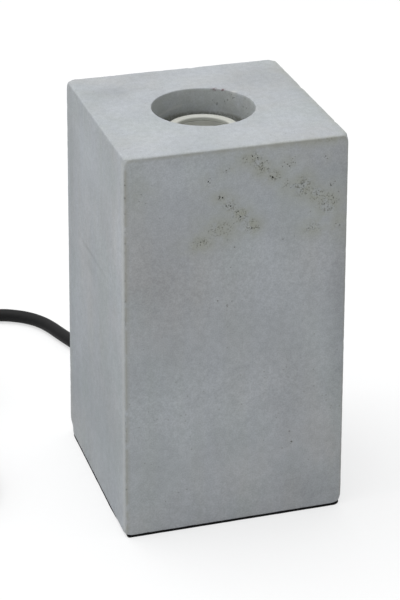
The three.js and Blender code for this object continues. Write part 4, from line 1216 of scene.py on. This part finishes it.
# ------------------------------------------------------------------ strap round the coil
def coil_strap():
    """Flat strap round the bundle of turns, its end lapped over on top."""
    inner, outer, middle_z, half_z = 25.2, 49.3, 8.48, 7.93
    width, thick = 10.0, 0.8
    line = rounded_outline((outer - inner) / 2, half_z, 3.6, straight=14, bend=8)
    start = line.index(min(line, key=lambda p: abs(p[0] - 4) + abs(p[1] - half_z)))
    line = line[start:] + line[:start]
    line += [(x, y + 0.85 * min(1, i / 3)) for i, (x, y) in enumerate(line[:12])]
    edge, flat = width / 2, width / 2 - 0.15
    section = [(-edge, 0.0), (-flat, -thick / 2), (flat, -thick / 2),
               (edge, 0.0), (flat, thick / 2), (-flat, thick / 2)]
    rows, mapped, along = [], [], 0.0
    for i, point in enumerate(line):
        before, after = Vector(line[max(0, i - 1)]), Vector(line[min(len(line) - 1, i + 1)])
        tangent = (after - before).normalized()
        if i:
            along += (Vector(point) - before).length
        row = []
        for across, up in section:
            x, z = point[0] + tangent.y * up, point[1] - tangent.x * up
            row.append((x + (inner + outer) / 2, across, z + middle_z))
            mapped.append((along * MM, (across + 6 * up) * MM))
        rows.append(row)
    vertices, faces = skin(rows)
    ends = [list(reversed(range(6))), list(range(len(vertices) - 6, len(vertices)))]
    mesh = bpy.data.meshes.new("coil_strap")
    mesh.from_pydata([Vector(v) * MM for v in vertices], [], faces + ends)
    layer = mesh.uv_layers.new(name="strap")
    for loop in mesh.loops:
        layer.data[loop.index].uv = mapped[loop.vertex_index]
    mesh.transform(moved(*COIL) @ Matrix.Rotation(math.radians(TIE_ANGLE), 4, "Z"))
    form = bmesh.new()
    form.from_mesh(mesh)
    bmesh.ops.recalc_face_normals(form, faces=form.faces)
    form.to_mesh(mesh)
    form.free()
    return finished("coil_strap", mesh, STRAP, 40)


# ------------------------------------------------------------------ plug
def bezier(t, a, b, c, d):
    return (1 - t) ** 3 * a + 3 * (1 - t) ** 2 * t * b + 3 * (1 - t) * t ** 2 * c + t ** 3 * d


def plug_half_width(along):
    """Half width of the plug's body at a distance from its rear."""
    rear, shoulder = 8.5, 22.3
    if along >= shoulder:
        return PLUG_HALF
    share = 0.5
    for _ in range(20):
        share += (along - bezier(share, 0, 6, 12, shoulder)) / 40
        share = min(1, max(0, share))
    return bezier(share, rear, rear + 3, PLUG_HALF, PLUG_HALF)


def plug_body():
    """A ribbed guard on the cord, then a flat body that widens to the face."""
    counts = {"straight": 6, "bend": 8}
    half_high = PLUG.z  # the plug lies on the floor
    guard = []
    for i in range(49):
        radius = 4.3 + (5.5 - 4.3) * i / 48
        if 4 < i < 42 and (i // 4) % 2:
            radius -= 0.55
        guard.append((radius, -12 + 12 * i / 48))
    rows = [[(0, 0, -12)]]
    rows += [circle_like(radius, along, **counts) for radius, along in [(3.9, -12), *guard]]
    for along, inset in ((0.0, 2.4), (0.35, 1.2), (1.1, 0.45), (2.4, 0)):
        half = plug_half_width(along) - inset
        rows.append(outline_row(half, half_high - inset, min(5.2, 6.8 - inset), along, **counts))
    for along in (3.5, 5, 6.5, 8, 10, 12, 14, 16, 18, 20, 22.3, 26, 30, 33.6):
        waist = 0.5 * sin(math.pi * min(1, along / 24))
        corner = 5.2 - 1.2 * min(1, along / 20)
        rows.append(outline_row(plug_half_width(along), half_high - waist, corner, along, **counts))
    for inset, along in ((0.35, 34.8), (1.1, 35.6), (2.4, PLUG_LENGTH)):
        rows.append(outline_row(PLUG_HALF - inset, half_high - inset, 4.0 - inset, along, **counts))
    rows += [outline_row(8, 2, 1, PLUG_LENGTH, **counts), [(0, 0, PLUG_LENGTH)]]
    return as_piece("plug_grip", skin(rows), PLUG_PLASTIC, place=moved(*PLUG) @ LAY_ALONG_Y)


def circle_like(radius, height, straight, bend):
    """A round row with as many points as an outline row."""
    total = 4 * (straight + bend)
    return [polar(radius, TAU * (i - bend / 2) / total, height) for i in range(total)]


def at_pin(name, side, profile, material, closed=False):
    place = moved(*PLUG) @ moved(side * 9.3, PLUG_LENGTH, 0) @ LAY_ALONG_Y
    return as_piece(name, turned(profile, 40, closed), material, 50, place)


def plug_pin(name, side):
    return at_pin(name, side, [
        (0, -8), (1.85, -8), (1.85, 9.9), (1.98, 10.05), (1.98, 17.2), (1.7, 18.2), (1.2, 18.75),
        (0.6, 19), (0, 19)], PIN_NICKEL)


def pin_sleeve(name, side):
    profile = [(1.9, -1), (2.02, -1), (2.02, 9.6), (1.9, 9.8)]
    return at_pin(name, side, profile, PLUG_PLASTIC, closed=True)


# ------------------------------------------------------------------ make, ride and hide the parts they stand for
def stands_for(piece, body, slot, *nodes):
    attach(piece, body)
    if nodes:
        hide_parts(*nodes)
    return piece


for flex in (flex_to_switch, flex_to_plug):
    flex.data.materials.append(FLEX_SHEATH)

inner_flex = flex_along("flex_inside", INNER_ROUTE)
inner_flex.data.materials.append(FLEX_SHEATH)

stands_for(concrete_block(), "lamp", "concrete", "concrete_block")
stands_for(foot_pad(), "lamp", "pad_rubber", "base_pad")
stands_for(turned_piece("porcelain_skirt", skirt_profile(), PORCELAIN, 128),
           "lamp", "porcelain", "holder_skirt")
stands_for(turned_piece("porcelain_cap", cap_profile(), PORCELAIN), "lamp", "porcelain", "holder_cap")
stands_for(insert_plate(), "lamp", "porcelain", "holder_insert")
stands_for(screw_shell(), "lamp", "shell_metal", "screw_shell")
stands_for(tube_with_thread(), "lamp", "steel_fixings", "threaded_tube")
for name, low, node in (("upper_washer", 134.8, "well_washer"), ("lower_washer", 58.3, "hollow_washer")):
    stands_for(washer(name, low), "lamp", "steel_fixings", node)
stands_for(hex_nut(), "lamp", "steel_fixings", "tube_nut")
stands_for(inner_flex, "lamp", "cord_sheath", "cord_inner")

boot = stands_for(strain_relief(), "lamp", "cord_sheath", "cord_relief")
base_half = stands_for(switch_base(), "lamp", "switch_plastic", "switch_base")
cover_half = stands_for(switch_cover(), "lamp", "switch_plastic", "switch_cover")
frame_ring = stands_for(window_frame(), "lamp", "switch_plastic")
rocker_cap = stands_for(rocker(), "rocker", "rocker_plastic", "switch_rocker")
rocker_grips = [stands_for(rocker_ridges(end), "rocker", "rocker_plastic") for end in (-1, 1)]
strap = stands_for(coil_strap(), "lamp", "tie_strap", "cord_tie")
grip = stands_for(plug_body(), "lamp", "plug_plastic", "plug_body")
plug_ribs = [
    stands_for(ridges("plug_ribs_" + label, 5, (PLUG.x, PLUG.y + 6.5, PLUG.z + up), (0, 2.6, 0), 11.0,
                      0.7, PLUG_PLASTIC), "lamp", "plug_plastic")
    for label, up in (("top", 6.05), ("bottom", -6.05))
]
sides = {"left": -1, "right": 1}
pins = [stands_for(plug_pin("pin_" + label, side), "lamp", "pin_nickel", "plug_pin_" + label)
        for label, side in sides.items()]
pins += [stands_for(pin_sleeve("sleeve_" + label, side), "lamp", "plug_plastic")
         for label, side in sides.items()]

KEPT_NODES = {
    "centre_contact": BRASS, "terminal_live": BRASS, "terminal_neutral": BRASS,
    "terminal_screw_live": ZINC, "terminal_screw_neutral": ZINC, "grub_screw": ZINC,
    "core_live": CORE_BROWN, "core_neutral": CORE_BLUE,
    "switch_screw_near": ZINC, "switch_screw_far": ZINC,
    "switch_terminal_near": BRASS, "switch_terminal_far": BRASS,
}
for name, material in KEPT_NODES.items():
    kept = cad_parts[name]
    kept.data.materials.clear()
    kept.data.materials.append(material)

stands_for(flex_to_switch, "lamp", "cord_sheath", "cord_lead")
stands_for(flex_to_plug, "lamp", "cord_sheath", "cord_run", "cord_coil", "cord_tail")


# ------------------------------------------------------------------ floor and light
def behind_everything(tree):
    """1 for rays that come straight from the eye or off a glossy or clear surface."""
    path = add_node(tree, "ShaderNodeLightPath").outputs
    seen = maths(tree, "ADD", path["Is Camera Ray"], path["Is Glossy Ray"])
    return maths(tree, "ADD", seen, path["Is Transmission Ray"], clamp=True)


def pale_floor():
    """White to the eye, while the light it throws back is that of a pale grey."""
    mesh = bpy.data.meshes.new("floor")
    reach = 6.0
    corners = [(-reach, -reach, 0), (reach, -reach, 0), (reach, reach, 0), (-reach, reach, 0)]
    mesh.from_pydata(corners, [], [(0, 1, 2, 3)])
    floor = linked("floor", mesh)
    material = bpy.data.materials.new("pale_floor")
    tree = emptied(material)
    plain_side = first_of(tree, "ShaderNodeBsdfDiffuse", {"Color": (0.72, 0.72, 0.72, 1)})
    seen_side = first_of(tree, "ShaderNodeBsdfDiffuse", {"Color": (0.4, 0.4, 0.4, 1)})
    glow = first_of(tree, "ShaderNodeEmission", {"Color": (1, 1, 1, 1), "Strength": 0.6})
    white = first_of(tree, "ShaderNodeAddShader", {0: seen_side, 1: glow})
    both = first_of(tree, "ShaderNodeMixShader", {0: behind_everything(tree), 1: plain_side, 2: white})
    add_node(tree, "ShaderNodeOutputMaterial", {"Surface": both})
    mesh.materials.append(material)


def room_light(strength):
    world = bpy.data.worlds.new("room")
    bpy.context.scene.world = world
    tree = emptied(world)
    soft, white = (first_of(tree, "ShaderNodeBackground", {"Color": colour, "Strength": power})
                   for colour, power in (((0.985, 0.995, 1, 1), strength), ((1, 1, 1, 1), 1.0)))
    both = first_of(tree, "ShaderNodeMixShader", {0: behind_everything(tree), 1: soft, 2: white})
    add_node(tree, "ShaderNodeOutputWorld", {"Surface": both})


def softbox(name, place, size, power, colour):
    """A square lamp that looks at the middle of the block."""
    lamp = bpy.data.lights.new(name, "AREA")
    lamp.shape, lamp.size, lamp.energy, lamp.color = "SQUARE", size, power, colour
    towards = (Vector((0, 0, 0.1)) - Vector(place)).to_track_quat("-Z", "Y")
    linked(name, lamp).matrix_world = Matrix.Translation(place) @ towards.to_matrix().to_4x4()


pale_floor()
room_light(0.615)
softbox("overhead_softbox", (-0.35, 0.25, 1.8), 1.5, 20, (1, 1, 1))
softbox("left_softbox", (-1.7, 0.1, 0.9), 1.2, 2.6, (0.84, 0.93, 1))
bpy.context.scene.view_settings.view_transform = "Standard"
